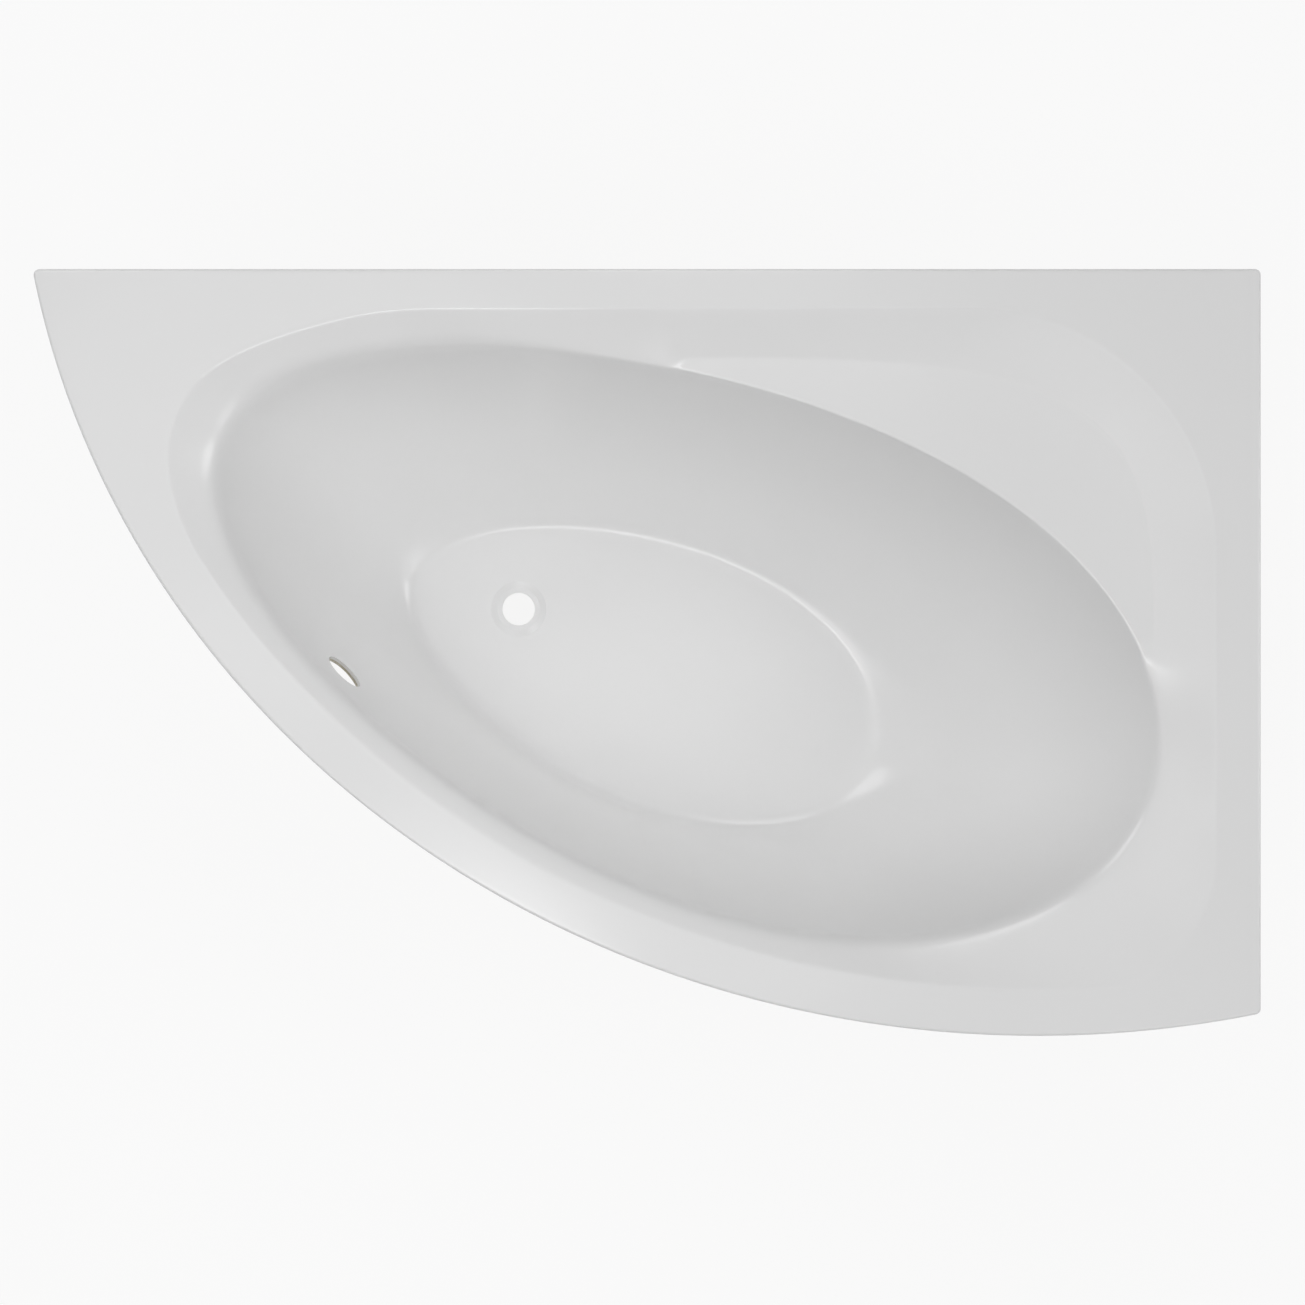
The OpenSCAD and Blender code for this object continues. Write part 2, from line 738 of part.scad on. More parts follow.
module rim_batten_bow() {
    y_tip = y_back - batten_inset - batten_w - batten_end;
    inner = batten_inset + batten_w;
    from = bow_angle([bow_x(y_tip, batten_inset), y_tip], batten_inset);
    to = bow_angle([x_side - batten_end, bow_y(x_side - batten_end, batten_inset)], batten_inset);
    step = (to - from) / strip_n;
    color(pine)
        batten(z_batten_top)
            polygon(concat(
                [for (i = [0 : strip_n]) on_bow(from + step * i, batten_inset)],
                [for (i = [strip_n : -1 : 0]) beside_laminate(on_bow(from + step * i, inner))]
            ));
}

// Board let in under the wide rim of the head corner
module head_corner_block() {
    inner = batten_inset + batten_w + block_gap;
    c = head_centre(rim_side, rim_back, head_r);
    color(chipboard)
        translate([0, 0, z_batten_top - board_t])
            linear_extrude(board_t)
                difference() {
                    translate([x_side - inner - head_block, y_back - inner - head_block])
                        square(head_block);
                    translate(c) circle(r = head_r + 2 * rim_edge, $fn = 128);
                }
}

// Board let in under the wide rim of the tip
module tip_block() {
    inner = batten_inset + batten_w + block_gap;
    y = y_back - inner;
    x = bow_x(y, inner);
    color(chipboard)
        translate([0, 0, z_batten_top - board_t])
            linear_extrude(board_t)
                polygon(concat(
                    [[x + tip_block_w, y]],
                    [
                        for (i = [0 : block_n])
                        let (v = y - tip_block_l * i / block_n)
                        [bow_x(v, inner), v]
                    ]
                ));
}

// Wall brackets stand in the wall's plane and reach under the battens
function bracket_places() =
    [
        [-bracket_back_gap / 2, y_back, 0],
        [bracket_back_gap / 2, y_back, 0],
        [x_side, bracket_side_mid - bracket_side_gap / 2, -90],
        [x_side, bracket_side_mid + bracket_side_gap / 2, -90]
    ];
module each_bracket() {
    for (p = bracket_places())
        translate([p[0], p[1], z_batten - seat_gap]) rotate(p[2]) children();
}

module each_bracket_screw() {
    each_bracket()
        for (x = [-1, 1])
            translate([x * bracket_w / 4, -batten_inset - batten_w / 2, -bracket_t - seat_gap])
                children();
}

module wall_brackets() {
    reach = batten_inset + batten_w - 2;
    color(zinc)
        difference() {
            each_bracket() {
                translate([-bracket_w / 2, -reach, -bracket_t]) cube([bracket_w, reach, bracket_t]);
                translate([-bracket_w / 2, -bracket_t, -bracket_h])
                    cube([bracket_w, bracket_t, bracket_h]);
            }
            each_bracket()
                translate([0, 0, -bracket_hole_drop])
                    rotate([90, 0, 0])
                        cylinder(r = bracket_hole_r, h = 4 * bracket_t, center = true);
            each_bracket_screw() pilot_hole();
        }
}

module bracket_screws() {
    color(zinc) each_bracket_screw() wood_screw();
}

// Cradle of folded steel channel
module channel_plan(w, h) {
    difference() {
        union() {
            translate([-w / 2, -h]) square([w, h - rail_bend]);
            translate([-w / 2 + rail_bend, -h]) square([w - 2 * rail_bend, h]);
            for (x = [-1, 1]) translate([x * (w / 2 - rail_bend), -rail_bend]) circle(rail_bend);
        }
        translate([-w / 2 + rail_t, -h - past]) square([w - 2 * rail_t, h - rail_t + past]);
    }
}

module rail(x) {
    color(zinc)
        difference() {
            on_cradle(x, 0, z_rail)
                rotate([90, 0, 0])
                    linear_extrude(rail_l, center = true) channel_plan(rail_w, rail_h);
            for (y = [-foot_y, foot_y])
                on_cradle(x, y, z_web - past) cylinder(r = stud_r + stud_clear, h = rail_t + 2 * past);
            for (y = rail_screw_y)
                on_cradle(x, y, z_web - past) cylinder(r = screw_r + 2 * screw_gap, h = rail_t + 2 * past);
        }
}

module drain_end_rail() {
    rail(rail_drain_x);
}

module head_end_rail() {
    rail(rail_head_x);
}

module rail_screws() {
    color(zinc)
        for (x = [rail_drain_x, rail_head_x], y = rail_screw_y)
            on_cradle(x, y, z_web - seat_gap) wood_screw();
}

// Top hat bracket that drops the centre foot's nut below the board
module centre_foot_bracket() {
    cap = centre_l / 2 - centre_flange;
    color(zinc)
        difference() {
            on_cradle(centre_x, 0, z_rail)
                rotate([90, 0, 0])
                    linear_extrude(rail_w, center = true)
                        difference() {
                            union() {
                                translate([-centre_l / 2, -rail_t]) square([centre_l, rail_t]);
                                translate([-cap, z_centre - z_rail])
                                    square([2 * cap, z_rail - z_centre]);
                            }
                            translate([-cap + rail_t, z_centre - z_rail + rail_t])
                                square([2 * (cap - rail_t), z_rail - z_centre]);
                        }
            on_cradle(centre_x, 0, z_centre - past) cylinder(r = stud_r + stud_clear, h = rail_t + 2 * past);
            for (x = centre_screw_x)
                on_cradle(centre_x + x, 0, z_web - past)
                    cylinder(r = screw_r + 2 * screw_gap, h = rail_t + 2 * past);
        }
}

module centre_screws() {
    color(zinc)
        for (x = centre_screw_x)
            on_cradle(centre_x + x, 0, z_web - seat_gap) wood_screw();
}

// A hexagon nut with chamfered corners
module nut() {
    corner = nut_af / 2 * hex_factor;
    chamfer = corner - nut_af / 2;
    difference() {
        intersection() {
            cylinder(r = corner, h = nut_h, $fn = 6);
            rotate_extrude()
                polygon([
                    [0, 0], [nut_af / 2, 0], [corner, chamfer], [corner, nut_h - chamfer],
                    [nut_af / 2, nut_h], [0, nut_h]
                ]);
        }
        translate([0, 0, -past]) cylinder(r = nut_bore, h = nut_h + 2 * past);
    }
}

module support_nuts() {
    color(zinc)
        for (f = feet) on_cradle(f[0], f[1], f[2] - nut_h - seat_gap) nut();
}

module lock_nuts() {
    color(zinc)
        for (f = feet) on_cradle(f[0], f[1], f[2] + rail_t + seat_gap) nut();
}

// Levelling stud: spigot in the pad, turning collar, threaded shank with a chamfered end
module foot_stud(f) {
    top = f[2] + rail_t + seat_gap + nut_h + stud_over;
    color(zinc)
        on_cradle(f[0], f[1], 0) {
            translate([0, 0, pad_floor + seat_gap])
                cylinder(r = spigot_r, h = collar_z - pad_floor - seat_gap + bite);
            translate([0, 0, collar_z])
                cylinder(r = collar_af / 2 * hex_factor, h = collar_h, $fn = 6);
            rotate_extrude()
                polygon([
                    [0, collar_z + collar_h - bite], [stud_r, collar_z + collar_h - bite],
                    [stud_r, top - stud_end], [stud_r - stud_end, top], [0, top]
                ]);
        }
}

// Foot pad: a wide rim, a cone and a socket for the spigot
module foot_pad(f) {
    color(pad_black)
        on_cradle(f[0], f[1], 0)
            rotate_extrude()
                polygon([
                    [0, 0], [pad_r - pad_edge, 0], [pad_r, pad_edge],
                    [pad_r, pad_rim_h - pad_edge], [pad_r - pad_edge, pad_rim_h],
                    [pad_top_r, pad_h],
                    [spigot_r + spigot_gap, pad_h], [spigot_r + spigot_gap, pad_floor],
                    [0, pad_floor]
                ]);
}

acrylic_shell();
glassfibre_laminate();
bonding_bed();
base_board();
rim_batten_back();
rim_batten_side();
rim_batten_bow();
head_corner_block();
tip_block();
wall_brackets();
bracket_screws();
drain_end_rail();
head_end_rail();
rail_screws();
centre_foot_bracket();
centre_screws();
support_nuts();
lock_nuts();
foot_stud(feet[0]);  // foot_stud_1
foot_stud(feet[1]);  // foot_stud_2
foot_stud(feet[2]);  // foot_stud_3
foot_stud(feet[3]);  // foot_stud_4
foot_stud(feet[4]);  // foot_stud_5
foot_pad(feet[0]);  // foot_pad_1
foot_pad(feet[1]);  // foot_pad_2
foot_pad(feet[2]);  // foot_pad_3
foot_pad(feet[3]);  // foot_pad_4
foot_pad(feet[4]);  // foot_pad_5
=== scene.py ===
"""Looks of the corner bathtub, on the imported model's frame.

The formed sheet and the glass fibre behind it are drawn again from the same form as the solids,
with finer rows and true fillets. That form is worked out in millimetres, as on the drawing, and
becomes metres where a mesh is made. Everything else is in metres.
"""
from contextlib import contextmanager

import bmesh
import bpy
import numpy as np
from math import atan2, cos, degrees, pi, radians, sin, sqrt
from mathutils import Matrix, Vector


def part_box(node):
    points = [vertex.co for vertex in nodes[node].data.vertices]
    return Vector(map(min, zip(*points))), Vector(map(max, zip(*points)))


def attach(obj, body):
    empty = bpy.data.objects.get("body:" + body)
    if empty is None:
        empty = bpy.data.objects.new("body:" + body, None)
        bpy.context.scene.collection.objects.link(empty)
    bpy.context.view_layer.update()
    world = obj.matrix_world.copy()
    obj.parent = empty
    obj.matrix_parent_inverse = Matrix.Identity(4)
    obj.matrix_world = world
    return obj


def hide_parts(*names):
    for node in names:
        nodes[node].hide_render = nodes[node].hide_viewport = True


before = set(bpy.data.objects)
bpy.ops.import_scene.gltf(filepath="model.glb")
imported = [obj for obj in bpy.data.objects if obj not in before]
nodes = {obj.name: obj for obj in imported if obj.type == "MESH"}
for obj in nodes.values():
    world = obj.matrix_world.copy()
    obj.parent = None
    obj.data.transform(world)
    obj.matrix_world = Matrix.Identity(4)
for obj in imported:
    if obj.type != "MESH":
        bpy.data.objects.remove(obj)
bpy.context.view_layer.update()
MM = 0.001

# ---------------------------------------------------------------- the tub's form, in millimetres

_, shell_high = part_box("acrylic_shell")
X_SIDE = shell_high.x / MM
Y_BACK = shell_high.y / MM
RIM_Z = shell_high.z / MM

BOW_SIDE, BOW_B = 291, 1210        # from the side edge to the bow's middle, and its depth radius
CORNER_R = 8
LIP_H, LIP_R = 40, 5
RIM_BACK, RIM_SIDE, RIM_BOW = 52, 59, 61
HEAD_R, FOOT_R = 320, 170
TIP_SHARP, TIP_SPREAD, SHARP_MOST = 3.1, 20, 40
LEDGE_DROP = 30
LEDGE_BACK, LEDGE_SIDE, LEDGE_SHARP = 112, 132, 4.1
BEVEL_FALL, BEVEL_MIN, BEVEL_END = 0.56, 16, 2
EDGE_R = 10                        # rounding where the ledge drops into the basin
BASIN_IN = (222, 134, 141, 79)     # basin's edge from the tip, side, bow and back
LEANS = (199, 308, 97, 208)        # how far the walls lean in below each of those
TURN = -21.2
BASIN_TAPER, FLOOR_TAPER, BASIN_BEND = 0.158, 0.128, 12
Z_DRAIN, FLOOR_FALL = 170, 6
TOP_RUN, TOP_DROP, TOE_RUN, TOE_RISE = 0.25, 0.5, 0.35, 0.10
DRAIN_RUN, DRAIN_OFF = 217, 16.4
DRAIN_R, DRAIN_ROUND, SEAT_R, SEAT_H, SEAT_ROUND = 26, 1, 39, 3, 5
OVERFLOW_R, OVERFLOW_DROP, OVERFLOW_TURN = 28.5, 110, 180.3
ACRYLIC_T, LAMINATE_T, SEAT_GAP, LAMINATE_INSET = 4, 4, 0.1, 8
LAMINATE_OPEN = 44.1               # radius of the laminate's hole round the drain's seat

# How wide the form is rounded, measured down the slope.
ROUND_RIM = (6, 10)                # towards the back, and towards the bow
ROUND_TOE = (20, 48)               # the same, where the wall meets the floor
ROUND_EDGE = (9, 44)               # the basin's edge at the ledge, and away from it
ROUND_LEDGE = 6                    # the bevel's foot on a wide ledge
ROUND_WALL, WALL_EASE = 20, 80     # on the wall, and how far from its ends that starts
LEDGE_LEAST, LEDGE_EASE = 12, 40   # from that ledge width on, the foot is less and less round
PASS_SHARE = 0.7                   # the share of the width that each of two passes takes

# A direction, and how a share grows from 0 there to 1 away from it: start, and slope.
FROM_BACK = ((0.3, 1.0), 0.5, 0.75)
FROM_LEDGE = ((1.0, 1.0), 1.5, 2.1)

# Rows of the mesh down the slope.
SLOPE_N, CURVE_N, FINE_N = 96, 161, 2400
ROW_RUN, ROW_TURN = 14, 4          # one for each so many millimetres, and for each so many degrees
INTO_RIM, INTO_FLOOR = 14, 70      # how far they reach into the flat rim and the floor
LEAST_HALF = 0.02                  # a mean takes in at least that much on each side
LIP_N, LIP_TURN_N, FLOOR_N, SEAT_N = 6, 7, 13, 8
RIM_SHARES = (0.06, 0.35, 0.65, 0.94)    # where rows lie between the lip and the slope
EGG_STEPS, HALVINGS = 13, 24
NEAR, FAR = 0.001, 1e6             # a direction this flat to an edge meets it that far out

BOW_MID = X_SIDE - BOW_SIDE
BOW_CY = BOW_B - Y_BACK
tip_fall = (BOW_CY - Y_BACK + CORNER_R) / (BOW_B - CORNER_R)
BOW_A = CORNER_R + (BOW_MID + X_SIDE - CORNER_R) / sqrt(1 - tip_fall**2)
Z_LEDGE = RIM_Z - LEDGE_DROP


def turned(angle):
    """Unit vector at an angle in degrees."""
    return np.array([cos(radians(angle)), sin(radians(angle))])


def egg_in(box, turn, taper, bend):
    """Centre, half length, half width, turn, taper and bend of the egg that fills a box."""
    hx, hy = (box[1] - box[0]) / 2, (box[3] - box[2]) / 2
    total = hx * hx + hy * hy
    spare = (hx * hx - hy * hy) / cos(radians(2 * turn))
    centre = np.array([(box[0] + box[1]) / 2, (box[2] + box[3]) / 2])
    return centre, sqrt((total + spare) / 2), sqrt((total - spare) / 2), turn, taper, bend


basin_box = [-X_SIDE + BASIN_IN[0], X_SIDE - BASIN_IN[1],
             -Y_BACK + BASIN_IN[2], Y_BACK - BASIN_IN[3]]
floor_box = [basin_box[0] + LEANS[0], basin_box[1] - LEANS[1],
             basin_box[2] + LEANS[2], basin_box[3] - LEANS[3]]
basin_egg = egg_in(basin_box, TURN, BASIN_TAPER, BASIN_BEND)
floor_egg = egg_in(floor_box, TURN, FLOOR_TAPER, 0)
POLE = floor_egg[0]
AXIS, SIDE = turned(TURN), turned(TURN + 90)
DRAIN = POLE - DRAIN_RUN * AXIS + DRAIN_OFF * SIDE


def unit(v):
    """v at length 1, row by row."""
    return v / np.linalg.norm(v, axis=-1, keepdims=True)


def eased(s):
    """A share from 0 to 1 with a soft start and end."""
    return s * s * (3 - 2 * s)


def part_way(pair, share):
    """The value that share of the way from the first of a pair to the second."""
    return pair[0] + (pair[1] - pair[0]) * share


def reach_ellipse(d, centre, a, b):
    """Distance from the pole along d to an ellipse round the pole."""
    q, e = (POLE - centre) / [a, b], d / [a, b]
    m, n = e @ q, (e * e).sum(-1)
    return (np.sqrt(np.maximum(0, m * m - n * (q @ q - 1))) - m) / n


def reach_bow(d, inset):
    return reach_ellipse(d, np.array([BOW_MID, BOW_CY]), BOW_A - inset, BOW_B - inset)


def reach_line(d, axis, at):
    """Distance along d to the straight edge at that x (axis 0) or y (axis 1)."""
    return np.where(d[:, axis] > NEAR, (at - POLE[axis]) / np.maximum(d[:, axis], NEAR), FAR)


def reach_egg(d, egg):
    """Distance along d to an egg: an ellipse that grows along its axis, and an axis that bends."""
    centre, a, b0, turn, taper, bend = egg
    frame_2d = np.stack([turned(turn), turned(turn + 90)], 1)
    p, e = (POLE - centre) @ frame_2d, d @ frame_2d
    b, lift = np.full(len(d), float(b0)), np.zeros(len(d))
    for _ in range(EGG_STEPS):
        qs = np.stack([np.full(len(d), p[0] / a), (p[1] - lift) / b], 1)
        es = np.stack([e[:, 0] / a, e[:, 1] / b], 1)
        m, n = (qs * es).sum(1), (es * es).sum(1)
        r = (np.sqrt(m * m - n * ((qs * qs).sum(1) - 1)) - m) / n
        u = (p[0] + r * e[:, 0]) / a
        b, lift = b0 * (1 + taper * u), bend * u * u
    return r


def bow_x(y, inset):
    return BOW_MID - (BOW_A - inset) * sqrt(1 - ((y - BOW_CY) / (BOW_B - inset)) ** 2)


def bow_y(x, inset):
    return BOW_CY - (BOW_B - inset) * sqrt(1 - ((x - BOW_MID) / (BOW_A - inset)) ** 2)


def bow_normal(p, inset):
    v = np.array([(p[0] - BOW_MID) / (BOW_A - inset) ** 2, (p[1] - BOW_CY) / (BOW_B - inset) ** 2])
    return unit(v)


def head_centre(side, back, r):
    return np.array([X_SIDE - side - r, Y_BACK - back - r])


def foot_centre(side, bow, r):
    return np.array([X_SIDE - side - r, bow_y(X_SIDE - side - r, bow + r)])


def tip_centre(back, bow, r):
    return np.array([bow_x(Y_BACK - back - r, bow + r), Y_BACK - back - r])


def with_arc(d, straight, centre, r, u, v):
    """straight, with an arc in place of the corner between the directions u and v."""
    q = POLE + straight[:, None] * d - centre
    inside = (u[0] * q[:, 1] - u[1] * q[:, 0] > 0) & (v[0] * q[:, 1] - v[1] * q[:, 0] < 0)
    return np.where(inside, reach_ellipse(d, centre, r, r), straight)


def soft_corner(r1, r2, sharp):
    low, high = np.minimum(r1, r2), np.maximum(r1, r2)
    return low * (1 + (low / high) ** sharp) ** (-1 / sharp)


def reach_rim(d):
    """Distance to the line where the flat rim turns down."""
    to_tip = unit(np.array([-X_SIDE, Y_BACK]) - POLE)
    off = np.degrees(np.arccos(np.clip(d @ to_tip, -1, 1)))
    sharp = np.minimum(SHARP_MOST, TIP_SHARP + (off / TIP_SPREAD) ** 4)
    tip = soft_corner(reach_line(d, 1, Y_BACK - RIM_BACK), reach_bow(d, RIM_BOW), sharp)
    straight = np.minimum(tip, reach_line(d, 0, X_SIDE - RIM_SIDE))
    head, foot = head_centre(RIM_SIDE, RIM_BACK, HEAD_R), foot_centre(RIM_SIDE, RIM_BOW, FOOT_R)
    up = with_arc(d, straight, head, HEAD_R, (1, 0), (0, 1))
    down = with_arc(d, straight, foot, FOOT_R, bow_normal(foot, RIM_BOW + FOOT_R), (1, 0))
    return np.where(d[:, 1] > 0, up, down)


def reach_ledge(d):
    soft = soft_corner(reach_line(d, 1, Y_BACK - LEDGE_BACK), reach_line(d, 0, X_SIDE - LEDGE_SIDE),
                       LEDGE_SHARP)
    return np.where((d[:, 0] > 0) & (d[:, 1] > 0), soft, 0)


def floor_z(p):
    """Height of the floor's face, which falls to the drain."""
    return Z_DRAIN + FLOOR_FALL * ((p - DRAIN) @ AXIS) / (2 * floor_egg[1])


def arc(centre, r, start, end, n):
    a = np.radians(np.linspace(start, end, n + 1))
    return centre + r * np.stack([np.cos(a), np.sin(a)], 1)


def between(p, q, n):
    s = np.linspace(0, 1, n + 2)[1:-1, None]
    return np.asarray(p) + (np.asarray(q) - p) * s


SIDE_N, BACK_N, BOW_N, ARC_N = 64, 110, 160, 10


def outline(inset):
    """Points round the tub's edge, anticlockwise, that far in from it."""
    r = max(CORNER_R - inset, 0.5)
    shift = max(inset, CORNER_R - r) - CORNER_R + r
    head = head_centre(0, 0, CORNER_R)
    foot = foot_centre(0, 0, CORNER_R)
    tip = tip_centre(0, 0, CORNER_R)
    at_foot, at_tip = bow_normal(foot, CORNER_R), bow_normal(tip, CORNER_R)

    def bow_angle(p):
        return atan2((p[1] - BOW_CY) / (BOW_B - CORNER_R), (p[0] - BOW_MID) / (BOW_A - CORNER_R))

    first, last = bow_angle(tip), bow_angle(foot)
    along = np.linspace(first if first < 0 else first - 2 * pi, last, BOW_N + 2)[1:-1]
    bow = np.stack([BOW_MID + (BOW_A - inset) * np.cos(along),
                    BOW_CY + (BOW_B - inset) * np.sin(along)], 1)
    turn_tip = degrees(atan2(at_tip[1], at_tip[0])) % 360
    turn_foot = degrees(atan2(at_foot[1], at_foot[0]))
    return np.concatenate([
        between([X_SIDE - inset, foot[1]], [X_SIDE - inset, head[1]], SIDE_N),
        arc(head - shift * np.array([1, 1]), r, 0, 90, ARC_N),
        between([head[0], Y_BACK - inset], [tip[0], Y_BACK - inset], BACK_N),
        arc(tip - shift * np.array([-1, 1]), r, 90, turn_tip, ARC_N),
        bow,
        arc(foot - shift * np.array([1, -1]), r, turn_foot, 0, ARC_N),
    ])


def heights(basin, foot, rim):
    """Heights of the bevel's foot and, a little lower, of the basin's edge."""
    rise = np.minimum(BEVEL_END, BEVEL_FALL * (foot - basin - EDGE_R))
    z = np.maximum(Z_LEDGE + rise, RIM_Z - BEVEL_FALL * (rim - foot))
    return z, z - rise


def form(d):
    """Distances along d to floor, basin, bevel's foot and rim, and heights of foot and basin."""
    basin, toe = reach_egg(d, basin_egg), reach_egg(d, floor_egg)
    foot = np.maximum(basin + EDGE_R + BEVEL_END, reach_ledge(d))
    rim = np.maximum(reach_rim(d), foot + BEVEL_MIN)
    return (toe, basin, foot, rim) + heights(basin, foot, rim)


rays = unit(outline(0) - POLE)
RAY_N = len(rays)
reach_f, reach_b, reach_s, reach_a, z_foot, z_edge = form(rays)


def level(points, z):
    """Flat points at one height."""
    return np.column_stack([points, np.full(len(points), float(z))])


def wall_cubic(toe, basin, edge, z):
    """The wall from the basin's edge to the floor, as four (distance, height) control pairs."""
    run, h = basin - toe, edge - EDGE_R - z
    return [(basin, edge - EDGE_R), (basin - TOP_RUN * run, edge - EDGE_R - TOP_DROP * h),
            (toe + TOE_RUN * run, z + TOE_RISE * h), (toe, z)]


def on_cubic(points, s):
    w = ((1 - s) ** 3, 3 * s * (1 - s) ** 2, 3 * s * s * (1 - s), s**3)
    return tuple(sum(wk * pk[axis] for wk, pk in zip(w, points)) for axis in (0, 1))


def rounded(line, length, width):
    """A line with its corners rounded: each point becomes the mean of the width round it."""
    total = np.concatenate([np.zeros((1, 2)),
                            np.cumsum((line[1:] + line[:-1]) / 2 * np.diff(length)[:, None], 0)])
    half = np.minimum(width / 2, np.minimum(length - length[0], length[-1] - length))
    half = np.maximum(half, LEAST_HALF)
    high, low = np.minimum(length + half, length[-1]), np.maximum(length - half, length[0])
    mean = [(np.interp(high, length, total[:, k]) - np.interp(low, length, total[:, k]))
            / (high - low) for k in (0, 1)]
    return np.stack(mean, 1)


def away_from(way, start, slope):
    """For each ray, a share from 0 in that direction to 1 away from it."""
    return eased(np.clip(start - slope * (rays @ unit(np.array(way))), 0, 1))


def slope_line(i, z_toe, fall):
    """Ray i's line from the rim to the floor, corners still sharp, as (distance, height) pairs."""
    wall = wall_cubic(reach_f[i], reach_b[i], z_edge[i], z_toe)
    steep = (wall[0][1] - wall[1][1]) / (wall[0][0] - wall[1][0])
    shelf = (z_foot[i] - z_edge[i]) / (reach_s[i] - reach_b[i] - EDGE_R)
    x = EDGE_R * (1 - shelf) / (steep - shelf)
    return np.concatenate([
        [(reach_a[i] + INTO_RIM, RIM_Z), (reach_a[i], RIM_Z), (reach_s[i], z_foot[i]),
         (reach_b[i] + x, z_edge[i] - shelf * (EDGE_R - x))],
        np.column_stack(on_cubic(wall, np.linspace(0, 1, CURVE_N))),
        [(reach_f[i] - INTO_FLOOR, z_toe + INTO_FLOOR * fall)],
    ])


def slope_rows():
    """Rows from the flat rim down the bevel, ledge and wall to the floor, with rounded corners."""
    to_bow, off_ledge = away_from(*FROM_BACK), away_from(*FROM_LEDGE)
    z_toe = floor_z(POLE + reach_f[:, None] * rays)
    fall = floor_z(POLE + (reach_f[:, None] - 1) * rays) - z_toe
    rows = np.empty((SLOPE_N, RAY_N, 3))
    for i in range(RAY_N):
        line = slope_line(i, z_toe[i], fall[i])
        at = np.concatenate([[0], np.cumsum(np.linalg.norm(np.diff(line, axis=0), axis=1))])
        rim, toe = part_way(ROUND_RIM, to_bow[i]), part_way(ROUND_TOE, to_bow[i])
        edge = part_way(ROUND_EDGE, off_ledge[i])
        wide = np.clip((at[3] - at[2] - LEDGE_LEAST) / LEDGE_EASE, 0, 1)
        foot = part_way((edge, ROUND_LEDGE), wide)
        length = np.linspace(0, at[-1], FINE_N)
        width = PASS_SHARE * np.interp(
            length, [0, at[1], at[2], at[3], at[3] + WALL_EASE, at[-2] - WALL_EASE, at[-2]],
            [rim, rim, foot, edge, ROUND_WALL, ROUND_WALL, toe])
        fine = np.stack([np.interp(length, at, line[:, k]) for k in (0, 1)], 1)
        fine = rounded(rounded(fine, length, width), length, width)
        step = np.diff(fine, axis=0)
        turn = np.abs(np.diff(np.unwrap(np.arctan2(step[:, 1], step[:, 0]))))
        turn = np.concatenate([[0], turn, [0]])
        weight = np.cumsum(np.gradient(length) / ROW_RUN + turn / radians(ROW_TURN))
        pick = np.interp(np.linspace(weight[0], weight[-1], SLOPE_N), weight, length)
        for j in range(SLOPE_N):
            rows[j, i, 0] = np.interp(pick[j], length, fine[:, 0])
            rows[j, i, 2] = np.interp(pick[j], length, fine[:, 1])
    reach = rows[:, :, 0].copy()
    rows[:, :, :2] = POLE + reach[:, :, None] * rays
    return list(rows)


def drain_rows(first, radii):
    """Rows round the drain from the last row of the slope, as (radius, depth) pairs say."""
    away = unit(first[:, :2] - DRAIN)
    rows = []
    for r, depth in radii:
        p = DRAIN + r * away
        z = floor_z(p) if depth is None else np.full(RAY_N, Z_DRAIN - float(depth))
        rows.append(np.column_stack([p, z]))
    return rows


def seat_profile():
    """The drain's pressed seat and its hole's rounded edge, as (radius, depth) pairs."""
    hole = DRAIN_R + DRAIN_ROUND
    bend = np.cos(np.linspace(0.3, pi, SEAT_N))
    return ([(SEAT_R + SEAT_ROUND * c, SEAT_H * (1 - c) / 2) for c in bend]
            + [(SEAT_R - SEAT_ROUND - 1, SEAT_H), (hole + 2, SEAT_H), (hole, SEAT_H)]
            + [(hole - DRAIN_ROUND * sin(a), SEAT_H + DRAIN_ROUND * (1 - cos(a)))
               for a in np.radians([30, 60, 90])])


lip_rows = [level(outline(0), z) for z in np.linspace(RIM_Z - LIP_H, RIM_Z - LIP_R, LIP_N)]
for a in np.radians(np.linspace(0, 90, LIP_TURN_N)[1:]):
    lip_rows.append(level(outline(LIP_R * (1 - cos(a))), RIM_Z - LIP_R * (1 - sin(a))))
slope = slope_rows()
flat_rows = [lip_rows[-1] + (slope[0] - lip_rows[-1]) * s for s in RIM_SHARES]
near_seat = drain_rows(slope[-1], [(SEAT_R + SEAT_ROUND, None)])[0]
floor_rows = [slope[-1] + (near_seat - slope[-1]) * s for s in np.linspace(0, 1, FLOOR_N)[1:]]
seat_rows = drain_rows(slope[-1], seat_profile())
face_rows = np.stack(lip_rows + flat_rows + slope + floor_rows + seat_rows)


def square_to(rows):
    """Unit normals of the face that the rows make."""
    along = np.roll(rows, -1, axis=1) - np.roll(rows, 1, axis=1)
    down = np.empty_like(rows)
    down[1:-1] = rows[2:] - rows[:-2]
    down[0], down[-1] = rows[1] - rows[0], rows[-1] - rows[-2]
    return unit(np.cross(along, down))


def linked(name, data):
    """A new object in the scene."""
    obj = bpy.data.objects.new(name, data)
    bpy.context.scene.collection.objects.link(obj)
    return obj


def object_from(name, points, faces):
    """A smooth mesh object from points in metres."""
    mesh = bpy.data.meshes.new(name)
    mesh.from_pydata([tuple(p) for p in points], [], faces)
    mesh.validate()
    mesh.polygons.foreach_set("use_smooth", [True] * len(mesh.polygons))
    mesh.update()
    return linked(name, mesh)


